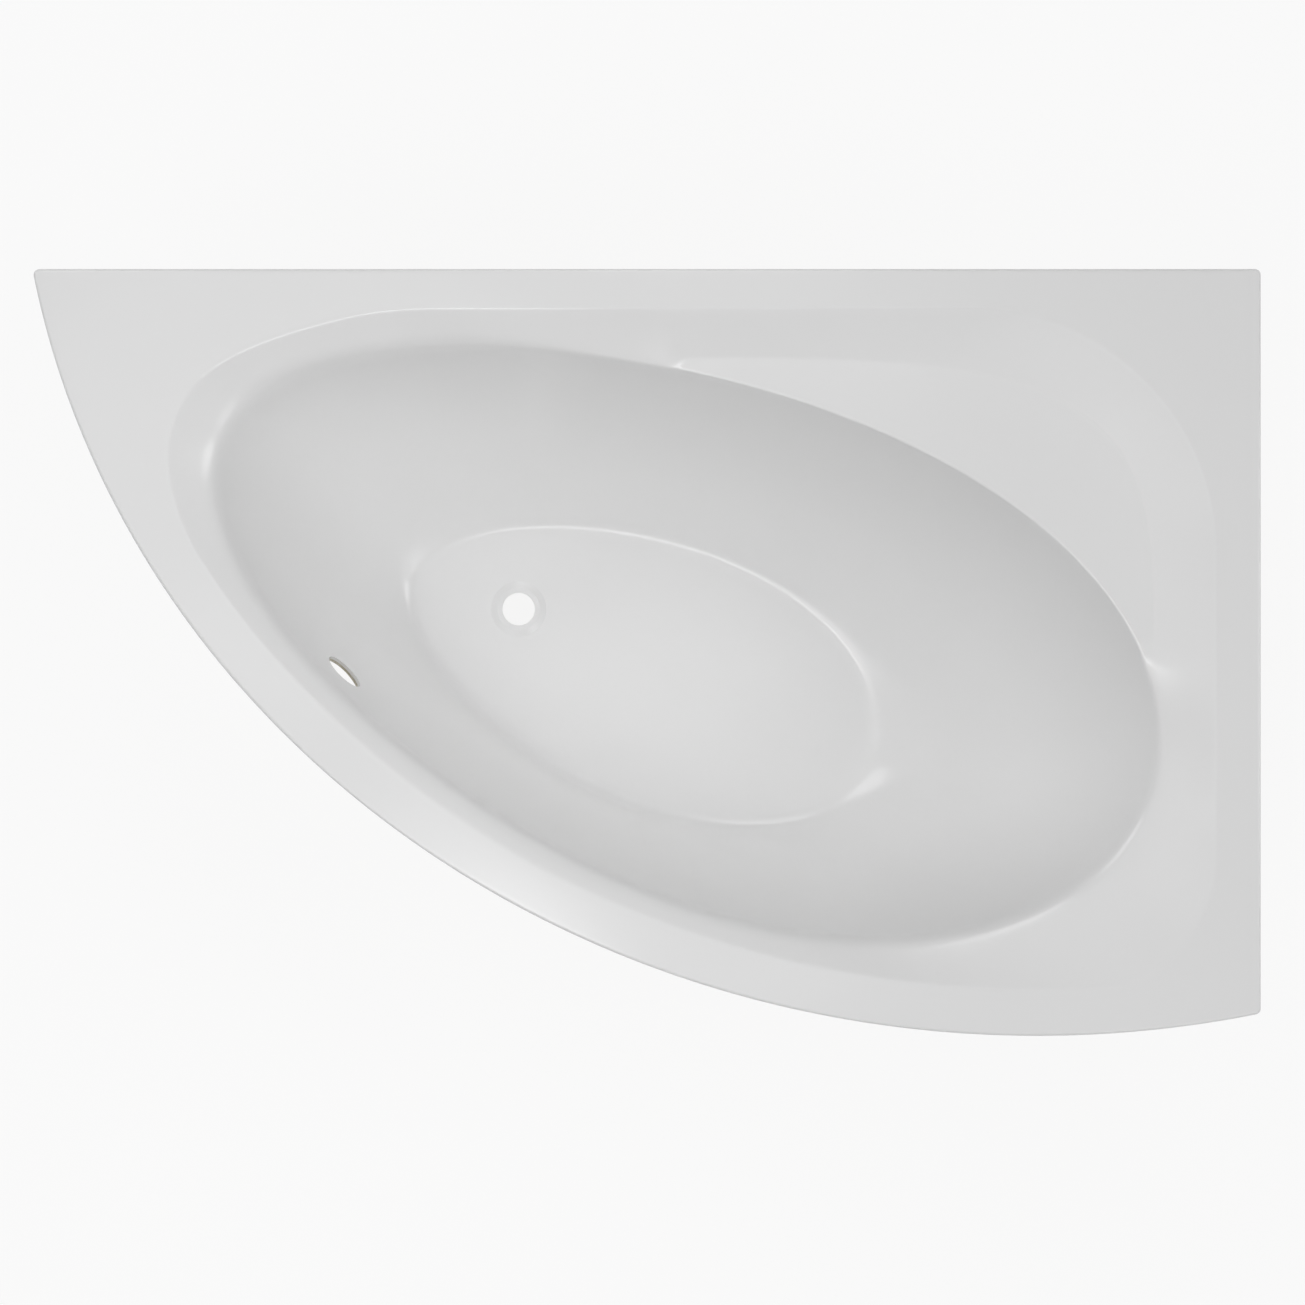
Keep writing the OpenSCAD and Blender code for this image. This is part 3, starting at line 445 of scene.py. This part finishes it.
def skin(name, outer, inner):
    """A closed sheet between two sets of rows, in millimetres, outer the one that is seen."""
    rows = list(outer) + list(inner[::-1])
    count, n = len(rows), len(rows[0])
    i = np.arange(n)
    k = np.roll(i, -1)
    faces = []
    for j in range(count):
        a, b = j * n, (j + 1) % count * n
        faces += np.column_stack([a + i, a + k, b + k, b + i]).tolist()
    return object_from(name, np.concatenate(rows) * MM, faces)


def settle(obj):
    """Applies the object's modifiers to its mesh."""
    made = bpy.data.meshes.new_from_object(obj.evaluated_get(bpy.context.evaluated_depsgraph_get()))
    obj.modifiers.clear()
    obj.data = made
    return obj


def wall_point(angle, share):
    """A point of the visible wall in the direction angle, share of its way down."""
    d = turned(angle)
    toe, basin, _, _, _, edge = (float(v[0]) for v in form(d[None]))
    r, height = on_cubic(wall_cubic(toe, basin, edge, floor_z(POLE + toe * d)), share)
    return Vector((*(POLE + r * d), height))


def overflow_place():
    """Centre and normal of the overflow on the wall, in metres."""
    low, high = 0.0, 1.0
    for _ in range(HALVINGS):
        mid = (low + high) / 2
        if wall_point(OVERFLOW_TURN, mid).z > RIM_Z - OVERFLOW_DROP:
            low = mid
        else:
            high = mid
    down = wall_point(OVERFLOW_TURN, low + NEAR) - wall_point(OVERFLOW_TURN, low - NEAR)
    across = wall_point(OVERFLOW_TURN + 1, low) - wall_point(OVERFLOW_TURN - 1, low)
    return wall_point(OVERFLOW_TURN, low) * MM, down.cross(across).normalized()


def revolved(name, profile, count):
    """A turned mesh from (radius, height) pairs in metres, bottom to top."""
    angles = np.arange(count) * 2 * pi / count
    points, rows = [], []
    for r, z in profile:
        rows.append(len(points))
        if r == 0:
            points.append((0, 0, z))
        else:
            points += [(r * cos(a), r * sin(a), z) for a in angles]
    faces = []
    for j, (start, end) in enumerate(zip(rows, rows[1:])):
        for i in range(count):
            k = (i + 1) % count
            if profile[j][0] == 0:
                faces.append((start, end + k, end + i))
            elif profile[j + 1][0] == 0:
                faces.append((start + i, start + k, end))
            else:
                faces.append((start + i, start + k, end + k, end + i))
    return object_from(name, points, faces)


def cut(obj, cutter):
    """Cuts one closed mesh out of another, and removes the cutter."""
    tool = obj.modifiers.new("cut", "BOOLEAN")
    tool.operation, tool.solver, tool.object = "DIFFERENCE", "EXACT", cutter
    settle(obj)
    bpy.data.objects.remove(cutter)
    return obj


FLAT_FIRST = 60                     # how strongly large faces lead the normals
SHARP = {"sheet": 35, "fibre": 60, "solid": 50, "screw": 40, "stud": 25}    # degrees


def shade(obj, kind):
    """Smooth shading with sharp edges kept, and flat faces that stay flat."""
    obj.data.polygons.foreach_set("use_smooth", [True] * len(obj.data.polygons))
    obj.data.set_sharp_from_angle(angle=radians(SHARP[kind]))
    tool = obj.modifiers.new("shade", "WEIGHTED_NORMAL")
    tool.keep_sharp = True
    tool.weight = FLAT_FIRST
    return settle(obj)


# ---------------------------------------------------------------- finishes


class Finish:
    """A material's node tree, with short ways to add and join nodes."""

    def __init__(self, name):
        self.material = bpy.data.materials.new(name)
        self.material.use_nodes = True
        self.tree = self.material.node_tree
        self.shader = self.tree.nodes["Principled BSDF"]
        self.where = self.tree.nodes.new("ShaderNodeTexCoord")

    def set(self, **values):
        """Constants on the shader's own sockets."""
        for name, value in values.items():
            self.shader.inputs[name].default_value = value

    def add(self, kind, **values):
        """A node with inputs set, or joined, by name, or by number as i0, i1 and so on."""
        node = self.tree.nodes.new("ShaderNode" + kind)
        for name, value in values.items():
            if name in ("operation", "data_type", "vector_type"):
                setattr(node, name, value)
                continue
            socket = node.inputs[int(name[1:])] if name[0] == "i" and name[1:].isdigit() \
                else node.inputs[name]
            if isinstance(value, bpy.types.NodeSocket):
                self.tree.links.new(value, socket)
            else:
                socket.default_value = value
        return node

    def spot(self, scale=(1, 1, 1), turn=(0, 0, 0), source="Object"):
        """The place on the object, turned and then multiplied by the scale."""
        return self.add("Mapping", vector_type="TEXTURE", Vector=self.where.outputs[source],
                        Rotation=turn, Scale=[1 / s for s in scale]).outputs[0]

    def noise(self, scale, detail=2.0, rough=0.5, at=None, distortion=0.0):
        at = at or self.where.outputs["Object"]
        return self.add("TexNoise", Vector=at, Scale=scale, Detail=detail, Roughness=rough,
                        Distortion=distortion).outputs["Fac"]

    def ramp(self, value, *stops):
        """Colours by value: (position, (r, g, b)) stops."""
        node = self.add("ValToRGB", Fac=value)
        ramp = node.color_ramp
        while len(ramp.elements) < len(stops):
            ramp.elements.new(0.5)
        for element, (position, colour) in zip(ramp.elements, stops):
            element.position, element.color = position, (*colour, 1)
        return node.outputs["Color"]

    def map(self, value, low, high, start=0.0, end=1.0):
        """start to end, stretched to low to high."""
        return self.add("MapRange", i0=value, i1=start, i2=end, i3=low, i4=high).outputs[0]

    def sum(self, a, b, operation="ADD"):
        return self.add("Math", i0=a, i1=b, operation=operation).outputs[0]

    def to(self, socket, value):
        self.tree.links.new(value, self.shader.inputs[socket])

    def bump(self, value, distance, strength=1.0):
        """The last step of each finish: the relief. Gives the material."""
        node = self.add("Bump", Height=value, Distance=distance, Strength=strength)
        self.to("Normal", node.outputs[0])
        return self.material


def acrylic_finish():
    """White cast acrylic: a hard gloss, with the faint waviness of a formed sheet."""
    f = Finish("acrylic")
    f.set(IOR=1.49)
    f.to("Base Color", f.ramp(f.noise(3.0, 2), (0.3, (0.893, 0.893, 0.893)),
                              (0.7, (0.907, 0.907, 0.907))))
    f.to("Roughness", f.map(f.noise(14.0, 3), 0.14, 0.18))
    return f.bump(f.noise(9.0, 1), 0.00012, 0.5)


def laminate_finish():
    """Chopped strands in resin, sprayed on: short fibres every way, proud and uneven."""
    f = Finish("glassfibre")
    f.set(IOR=1.5)
    strands = None
    for turn in (0.2, 0.85, 1.5, 2.1, 2.75):
        at = f.spot((330, 26, 330), (0.35 * turn, 0.6 - 0.8 * turn, turn))
        lines = f.map(f.noise(1.0, 1, 0.5, at), 0, 1, 0.58, 0.70)
        strands = lines if strands is None else f.sum(strands, lines, "MAXIMUM")
    cloud = f.noise(16.0, 4, 0.6)
    mixed = f.add("Mix", data_type="RGBA", i0=strands,
                  i6=f.ramp(cloud, (0.3, (0.46, 0.42, 0.31)), (0.7, (0.60, 0.56, 0.44))),
                  i7=(0.74, 0.72, 0.62, 1)).outputs[2]
    f.to("Base Color", mixed)
    f.to("Roughness", f.map(cloud, 0.28, 0.5))
    height = f.sum(f.sum(strands, f.map(cloud, 0, 2.2)), f.map(f.noise(70.0, 3), 0, 0.8))
    return f.bump(height, 0.0007)


def resin_finish():
    """Grey bonding paste, matt and lumpy."""
    f = Finish("resin_paste")
    f.set(Roughness=0.55)
    f.to("Base Color", f.ramp(f.noise(40.0, 5, 0.6), (0.3, (0.36, 0.36, 0.33)),
                              (0.7, (0.50, 0.49, 0.45))))
    return f.bump(f.noise(55.0, 4), 0.0008)


def chipboard_finish():
    """Pressed wood chips, small and pale, with darker bark among them."""
    f = Finish("chipboard")
    f.set(Roughness=0.75)
    at = f.spot((1, 1, 2.6))
    chips = f.add("TexVoronoi", Vector=at, Scale=240.0, Randomness=1.0)
    value = f.add("SeparateColor", Color=chips.outputs["Color"]).outputs[0]
    colour = f.ramp(value, (0.0, (0.27, 0.17, 0.09)), (0.12, (0.45, 0.31, 0.17)),
                    (0.5, (0.58, 0.43, 0.26)), (1.0, (0.70, 0.56, 0.37)))
    f.to("Base Color", colour)
    return f.bump(f.sum(value, f.noise(420.0, 2)), 0.0003)


def timber_finish(name, light, dark):
    """Sawn softwood: long grain along the piece, by the grain's own map."""
    f = Finish(name)
    f.set(Roughness=0.62)
    at = f.spot((3.0, 90.0, 1.0), source="UV")
    grain = f.noise(1.0, 3, 0.55, at, 0.6)
    fine = f.noise(1.0, 2, 0.5, f.spot((30.0, 900.0, 1.0), source="UV"))
    value = f.sum(f.map(grain, 0, 0.8), f.map(fine, 0, 0.2))
    f.to("Base Color", f.ramp(value, (0.32, dark), (0.5, light),
                              (0.62, tuple(1.08 * c for c in light))))
    return f.bump(f.sum(fine, grain), 0.00025)


def zinc_finish():
    """Zinc-plated steel: a dull shine with faint crystal patches."""
    f = Finish("zinc_steel")
    f.set(Metallic=1.0)
    flakes = f.add("TexVoronoi", Vector=f.where.outputs["Object"], Scale=130.0)
    value = f.add("SeparateColor", Color=flakes.outputs["Color"]).outputs[0]
    f.to("Base Color", f.ramp(value, (0.0, (0.50, 0.51, 0.52)), (1.0, (0.64, 0.65, 0.66))))
    f.to("Roughness", f.sum(f.map(value, 0.26, 0.36), f.map(f.noise(60.0, 4), 0, 0.16)))
    return f.bump(f.noise(300.0, 2), 0.00004)


def pad_finish():
    """Black moulded plastic with a fine grain."""
    f = Finish("pad_plastic")
    f.set(IOR=1.45)
    f.to("Base Color", f.ramp(f.noise(50.0, 3), (0.3, (0.022, 0.022, 0.024)),
                              (0.7, (0.034, 0.034, 0.036))))
    f.to("Roughness", f.map(f.noise(120.0, 2), 0.42, 0.58))
    return f.bump(f.noise(1500.0, 1), 0.00004)


finishes = {
    "acrylic": acrylic_finish(),
    "laminate": laminate_finish(),
    "resin": resin_finish(),
    "chipboard": chipboard_finish(),
    "timber": timber_finish("pine", (0.66, 0.47, 0.27), (0.43, 0.25, 0.11)),
    "zinc_steel": zinc_finish(),
    "pad_plastic": pad_finish(),
}


def finished(obj, slot, body, *stands_for):
    """Gives a piece its finish and its body, and hides the nodes that it stands for."""
    obj.data.materials.clear()
    obj.data.materials.append(finishes[slot])
    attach(obj, body)
    if stands_for:
        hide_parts(*stands_for)
    return obj


# ---------------------------------------------------------------- the formed sheet

set_back = face_rows - ACRYLIC_T * square_to(face_rows)
shell = skin("acrylic_sheet", face_rows, set_back)

overflow_at, overflow_axis = overflow_place()


def overflow_cutter():
    """A cylinder across the wall where the overflow goes."""
    r, past = OVERFLOW_R * MM, 0.03
    cutter = revolved("overflow_cutter", [(0, -past), (r, -past), (r, past), (0, past)], 72)
    cutter.matrix_world = Matrix.Translation(overflow_at) @ \
        overflow_axis.to_track_quat("Z", "Y").to_matrix().to_4x4()
    bpy.context.view_layer.update()
    return cutter


shade(cut(shell, overflow_cutter()), "sheet")
finished(shell, "acrylic", "tub", "acrylic_shell")

# ---------------------------------------------------------------- the glass fibre behind it

FIBRE_DIPS, FIBRE_SPANS = 1.1, 120  # how far the sprayed face lies back, and dips in a row
EDGE_DIPS, EDGE_SPANS = 5, (90, 23)    # how far its trimmed edge wanders in, fine and slow
SEED = 7
rough = np.random.default_rng(SEED)


def wandering(count, spans, deepest):
    """A smooth closed run of random depths from 0 to deepest."""
    marks = rough.random(spans)
    at = np.arange(count) * spans / count
    low = at.astype(int)
    s = eased(at - low)
    return deepest * (marks[low % spans] * (1 - s) + marks[(low + 1) % spans] * s)


inward = unit(POLE - outline(0))
edge = level(outline(LAMINATE_INSET), RIM_Z)
fine, slow = EDGE_SPANS
trim = wandering(RAY_N, fine, EDGE_DIPS) * wandering(RAY_N, slow, 1)
edge[:, :2] += trim[:, None] * inward
lam_rows = np.stack([edge] + [edge + (slope[0] - edge) * s for s in RIM_SHARES[1:]] + slope
                    + floor_rows[:-1] + drain_rows(slope[-1], [(LAMINATE_OPEN, None)]))
lam_out = square_to(lam_rows)
dips = np.stack([wandering(RAY_N, FIBRE_SPANS, FIBRE_DIPS) for _ in lam_rows])
dips = (dips + np.roll(dips, 1, 0) + np.roll(dips, -1, 0)) / 3
dips[[0, -1]] = 0
near = lam_rows - (ACRYLIC_T + SEAT_GAP) * lam_out
far = lam_rows - (ACRYLIC_T + SEAT_GAP + LAMINATE_T - dips)[:, :, None] * lam_out
laminate = skin("glassfibre_skin", near, far)
shade(cut(laminate, overflow_cutter()), "fibre")
finished(laminate, "laminate", "tub", "glassfibre_laminate")

# ---------------------------------------------------------------- pieces that follow their solids


MERGE = 1e-6
FLAT_WITHIN = radians(1.0)
BREAK_FROM = 40                     # degrees: an edge that turns more is broken
BROKEN = {"timber": 0.0012, "chipboard": 0.0008, "resin": 0.0005, "zinc_steel": 0.0005,
          "pad_plastic": 0.0006}
NUT_BROKEN = 0.0003


@contextmanager
def worked(mesh):
    """The mesh as a bmesh to work on, which is written back."""
    work = bmesh.new()
    work.from_mesh(mesh)
    yield work
    work.to_mesh(mesh)
    work.free()


def clean_copy(node, name):
    """The node's mesh with its split corners joined and its flat faces whole."""
    mesh = nodes[node].data.copy()
    mesh.name = name
    obj = linked(name, mesh)
    with worked(mesh) as work:
        bmesh.ops.remove_doubles(work, verts=work.verts, dist=MERGE)
        bmesh.ops.dissolve_limit(work, angle_limit=FLAT_WITHIN, verts=work.verts, edges=work.edges)
    for layer in ("sharp_edge", "sharp_face", "custom_normal"):   # left from the solid
        if layer in mesh.attributes:
            mesh.attributes.remove(mesh.attributes[layer])
    return obj


def broken_edges(obj, width):
    tool = obj.modifiers.new("edges", "BEVEL")
    tool.width, tool.segments = width, 2
    tool.limit_method, tool.angle_limit = "ANGLE", radians(BREAK_FROM)
    tool.harden_normals = False
    return shade(obj, "solid")


def grain_map(obj, along):
    """Writes the grain's own coordinates: along the piece, and across it with its height."""
    layer = obj.data.uv_layers.new(name="grain")
    for loop in obj.data.loops:
        p = obj.data.vertices[loop.vertex_index].co
        layer.data[loop.index].uv = along(p)


def dressed(node, slot, body="tub", width=None):
    """A copy of the node with broken edges and its finish, which stands for it."""
    piece = broken_edges(clean_copy(node, node + "_dressed"), width or BROKEN[slot])
    return finished(piece, slot, body, node)


GRAIN_SLANT = 1.3                   # the grain's rings run over from one face to the next
BOW_REACH = 1.3                     # metres, about the bow's radius
bow_centre = Vector((BOW_MID * MM, BOW_CY * MM))


def bow_grain(p):
    out = p.xy - bow_centre
    return BOW_REACH * atan2(out.y, out.x), out.length + GRAIN_SLANT * p.z


grains = {
    "rim_batten_back": lambda p: (p.x, p.y + GRAIN_SLANT * p.z),
    "rim_batten_side": lambda p: (p.y, p.x + GRAIN_SLANT * p.z),
    "rim_batten_bow": bow_grain,
}
for node, along in grains.items():
    grain_map(dressed(node, "timber"), along)
for node in ("head_corner_block", "tip_block", "base_board"):
    dressed(node, "chipboard")
dressed("bonding_bed", "resin")
for node in ("wall_brackets", "drain_end_rail", "head_end_rail", "centre_foot_bracket"):
    dressed(node, "zinc_steel")

STUD_R, PITCH = 0.006, 0.00175
THREAD_DEPTH = 0.6134 * PITCH
THREAD_SHAPE = ((0.0, 0), (0.25, 0), (0.5625, 1), (0.6875, 1))    # share of a turn, and crest
STUD_CHAMFER = 0.001
COLLAR_TOP = 0.0241                 # top of the stud's hexagon above the floor
COLLAR_BITE = 0.002                 # how far the thread starts below it
CROSS_REACH, CROSS_WIDTH = 0.0021, 0.00045
CROSS_TIERS = ((-0.0003, 1.15), (0, 1.0), (0.0016, 0.45))    # height in the head, and size


def loose_boxes(obj):
    """Low and high corners of each loose part of a mesh, in the order of its vertices."""
    work = bmesh.new()
    work.from_mesh(obj.data)
    met, boxes = set(), []
    for first in work.verts:
        if first in met:
            continue
        met.add(first)
        stack, part = [first], []
        while stack:
            vertex = stack.pop()
            part.append(vertex.co.copy())
            others = [edge.other_vert(vertex) for edge in vertex.link_edges]
            new = [other for other in others if other not in met]
            met.update(new)
            stack += new
        part = np.array(part)
        boxes.append((part.min(0), part.max(0)))
    work.free()
    return boxes


def joined(name, pieces):
    """One mesh from several objects, which are removed."""
    work = bmesh.new()
    for piece in pieces:
        piece.data.transform(piece.matrix_basis)
        work.from_mesh(piece.data)
        bpy.data.objects.remove(piece)
    mesh = bpy.data.meshes.new(name)
    work.to_mesh(mesh)
    work.free()
    return linked(name, mesh)


def cross_cutter(centre, low):
    """A cross-shaped plug that tapers upwards from the head's face."""
    plan = [(CROSS_WIDTH, CROSS_REACH), (CROSS_WIDTH, CROSS_WIDTH), (CROSS_REACH, CROSS_WIDTH)]
    corners = [(sx * x, sy * y) for sx in (1, -1) for sy in (1, -1) for x, y in plan]
    corners.sort(key=lambda p: atan2(p[1], p[0]))
    points = []
    for up, scale in CROSS_TIERS:
        points += [(centre[0] + scale * x, centre[1] + scale * y, low + up) for x, y in corners]
    n = len(corners)
    faces = [tuple(range(n))[::-1], tuple(range(2 * n, 3 * n))]
    for j in (0, n):
        faces += [(j + i, j + (i + 1) % n, j + n + (i + 1) % n, j + n + i) for i in range(n)]
    return object_from("cross", points, faces)


def threaded(name, centre, low, high, count=32):
    """A right-handed thread round a vertical axis, with a chamfered top.

    Each row goes round once while it rises by one pitch, so its end meets the start of the row
    one turn on, which lies len(THREAD_SHAPE) rows later.
    """
    on = len(THREAD_SHAPE)
    turns = int((high - low) / PITCH) + 2
    points, faces = [], []
    rows = [(t + phase, crest) for t in range(-1, turns) for phase, crest in THREAD_SHAPE]
    for height, crest in rows:
        for i in range(count):
            z = min(max(low + PITCH * (height + i / count), low), high)
            r = STUD_R - (0 if crest else THREAD_DEPTH)
            r = min(r, STUD_R - max(0, z - high + STUD_CHAMFER))
            a = 2 * pi * i / count
            points.append((centre[0] + r * cos(a), centre[1] + r * sin(a), z))
    for j in range(len(rows) - 1):
        for i in range(count):
            if i + 1 < count:
                faces.append((j * count + i, j * count + i + 1,
                              (j + 1) * count + i + 1, (j + 1) * count + i))
            elif j + on + 1 < len(rows):
                faces.append((j * count + i, (j + on) * count,
                              (j + on + 1) * count, (j + 1) * count + i))
    last = (len(rows) - 1) * count
    for start, z, way in ((0, low, -1), (last, high, 1)):
        points.append((centre[0], centre[1], z))
        ring_now = list(range(start, start + count))[::way]
        faces += [(ring_now[i], ring_now[(i + 1) % count], len(points) - 1) for i in range(count)]
    obj = object_from(name, points, faces)
    with worked(obj.data) as work:
        bmesh.ops.remove_doubles(work, verts=work.verts, dist=MERGE)
    return obj


for node in ("support_nuts", "lock_nuts"):
    dressed(node, "zinc_steel", width=NUT_BROKEN)

for node in ("bracket_screws", "rail_screws", "centre_screws"):
    screws = shade(clean_copy(node, node + "_dressed"), "screw")
    plugs = [cross_cutter((low + high) / 2, low[2]) for low, high in loose_boxes(screws)]
    cut(screws, joined("crosses", plugs))
    finished(shade(screws, "screw"), "zinc_steel", "tub", node)

for foot in range(1, 6):
    node = f"foot_stud_{foot}"
    low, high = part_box(node)
    centre = ((low.x + high.x) / 2, (low.y + high.y) / 2)
    base = clean_copy(node, "stud_base")
    with worked(base.data) as work:
        shank = [f for f in work.faces if f.calc_center_median().z > COLLAR_TOP + COLLAR_BITE]
        bmesh.ops.delete(work, geom=shank, context="FACES")
    thread = threaded("stud_thread", centre, COLLAR_TOP - COLLAR_BITE, high.z)
    stud = joined(node + "_dressed", [base, thread])
    finished(shade(stud, "stud"), "zinc_steel", f"stud_{foot}", node)
    dressed(f"foot_pad_{foot}", "pad_plastic", f"pad_{foot}")

# ---------------------------------------------------------------- floor, light and camera

WHITE, FLOOR_COLOUR = (1, 1, 1, 1), (0.95, 0.95, 0.95, 1)


def seen(tree):
    """A socket that is 1 for what the camera, a shine or a clear piece sees."""
    path = tree.nodes.new("ShaderNodeLightPath")
    total = path.outputs["Is Camera Ray"]
    for name in ("Is Glossy Ray", "Is Transmission Ray"):
        node = tree.nodes.new("ShaderNodeMath")
        node.operation = "MAXIMUM"
        tree.links.new(total, node.inputs[0])
        tree.links.new(path.outputs[name], node.inputs[1])
        total = node.outputs[0]
    return total


FLOOR_HALF = 8.0
FLOOR_GLOW = 0.88                   # how much of what is seen of it is plain white
FLOOR_Z = -0.0255                   # just below the pads at their lowest, so no pose hides one


def studio_floor():
    """A white floor that keeps a soft shadow."""
    corners = [(x * FLOOR_HALF, y * FLOOR_HALF, FLOOR_Z)
               for x, y in ((-1, -1), (1, -1), (1, 1), (-1, 1))]
    floor = object_from("studio_floor", corners, [(0, 1, 2, 3)])
    material = bpy.data.materials.new("studio_white")
    material.use_nodes = True
    tree = material.node_tree
    paint = tree.nodes["Principled BSDF"]
    paint.inputs["Base Color"].default_value = FLOOR_COLOUR
    paint.inputs["Roughness"].default_value = 0.9
    paint.inputs["Specular IOR Level"].default_value = 0.1
    glow = tree.nodes.new("ShaderNodeEmission")
    glow.inputs["Color"].default_value = WHITE
    glow.inputs["Strength"].default_value = 1.0
    share = tree.nodes.new("ShaderNodeMath")
    share.operation = "MULTIPLY"
    share.inputs[1].default_value = FLOOR_GLOW
    tree.links.new(seen(tree), share.inputs[0])
    mix = tree.nodes.new("ShaderNodeMixShader")
    tree.links.new(share.outputs[0], mix.inputs[0])
    tree.links.new(paint.outputs[0], mix.inputs[1])
    tree.links.new(glow.outputs[0], mix.inputs[2])
    tree.links.new(mix.outputs[0], tree.nodes["Material Output"].inputs["Surface"])
    floor.data.materials.append(material)


WORLD_LIGHT = 0.08


def soft_world():
    """Even light all round, and white where it is seen."""
    world = bpy.data.worlds.new("studio")
    bpy.context.scene.world = world
    world.use_nodes = True
    tree = world.node_tree
    light = tree.nodes["Background"]
    light.inputs["Color"].default_value = WHITE
    light.inputs["Strength"].default_value = WORLD_LIGHT
    back = tree.nodes.new("ShaderNodeBackground")
    back.inputs["Color"].default_value = WHITE
    back.inputs["Strength"].default_value = 1.0
    mix = tree.nodes.new("ShaderNodeMixShader")
    tree.links.new(seen(tree), mix.inputs[0])
    tree.links.new(light.outputs[0], mix.inputs[1])
    tree.links.new(back.outputs[0], mix.inputs[2])
    tree.links.new(mix.outputs[0], tree.nodes["World Output"].inputs["Surface"])


# Big soft lamps. Round the sides: how far, how high, across, then number, angle and radiance.
SIDE_LAMPS = (
    (3.6, 3.4, 2.0, ((1, 0, 1.2), (2, 90, 2.6), (3, 135, 2.9), (4, 225, 1.15), (5, 270, 0.45),
                     (6, 315, 1.5))),
    (6.0, 4.0, 3.0, ((7, 0, 2.45), (8, 330, 0.75))),
)
# Overhead: across, share of x and y that they aim at, then number, x, y and radiance.
TOP_LAMPS = (
    (1.7, 0.3, ((1, 0.0, 0.6, 0.3), (2, 0.0, -0.6, 0.67), (3, -1.2, 0.6, 0.7),
                (4, -1.2, -0.6, 0.6), (5, -1.2, -1.8, 1.95))),
    (0.7, 0.0, ((6, -0.5, -1.1, 4.1), (7, -0.8, -0.9, 1.2))),
    (1.2, 0.0, ((8, 0.3, 1.95, 1.2),)),
)
TOP_UP = 3.5
LAMP_AIM = 0.5                      # the height that they all shine at


def softbox(name, place, aim, across, radiance):
    """A round lamp that shines at a point. Its radiance is how bright its face looks."""
    lamp = bpy.data.lights.new(name, "AREA")
    lamp.shape = "DISK"
    lamp.size = across
    lamp.energy = radiance * pi * pi * (across / 2) ** 2
    obj = linked(name, lamp)
    obj.location = place
    obj.rotation_euler = (Vector(aim) - Vector(place)).to_track_quat("-Z", "Y").to_euler()
    obj.visible_camera = False


studio_floor()
soft_world()
for out, up, across, lamps in SIDE_LAMPS:
    for number, angle, radiance in lamps:
        place = (out * cos(radians(angle)), out * sin(radians(angle)), up)
        softbox(f"side_{number}", place, (0, 0, LAMP_AIM), across, radiance)
for across, aim, lamps in TOP_LAMPS:
    for number, x, y, radiance in lamps:
        softbox(f"top_{number}", (x, y, TOP_UP), (aim * x, aim * y, LAMP_AIM), across, radiance)

CAMERA_X = 0.007                    # beside the tub's middle
CAMERA_OVER = 1.9                   # metres above the rim
VIEW_WIDTH = 1.698                  # what the square frame takes in at the rim's height
SENSOR, SEES_TO = 36.0, 60
camera = bpy.data.cameras.new("photo_view")
camera.sensor_width = SENSOR
camera.lens = SENSOR * CAMERA_OVER / VIEW_WIDTH
camera.clip_end = SEES_TO
camera_obj = linked("photo_view", camera)
camera_obj.location = (CAMERA_X, 0, RIM_Z * MM + CAMERA_OVER)
bpy.context.scene.camera = camera_obj
bpy.context.scene.view_settings.view_transform = "Standard"

bpy.context.view_layer.update()
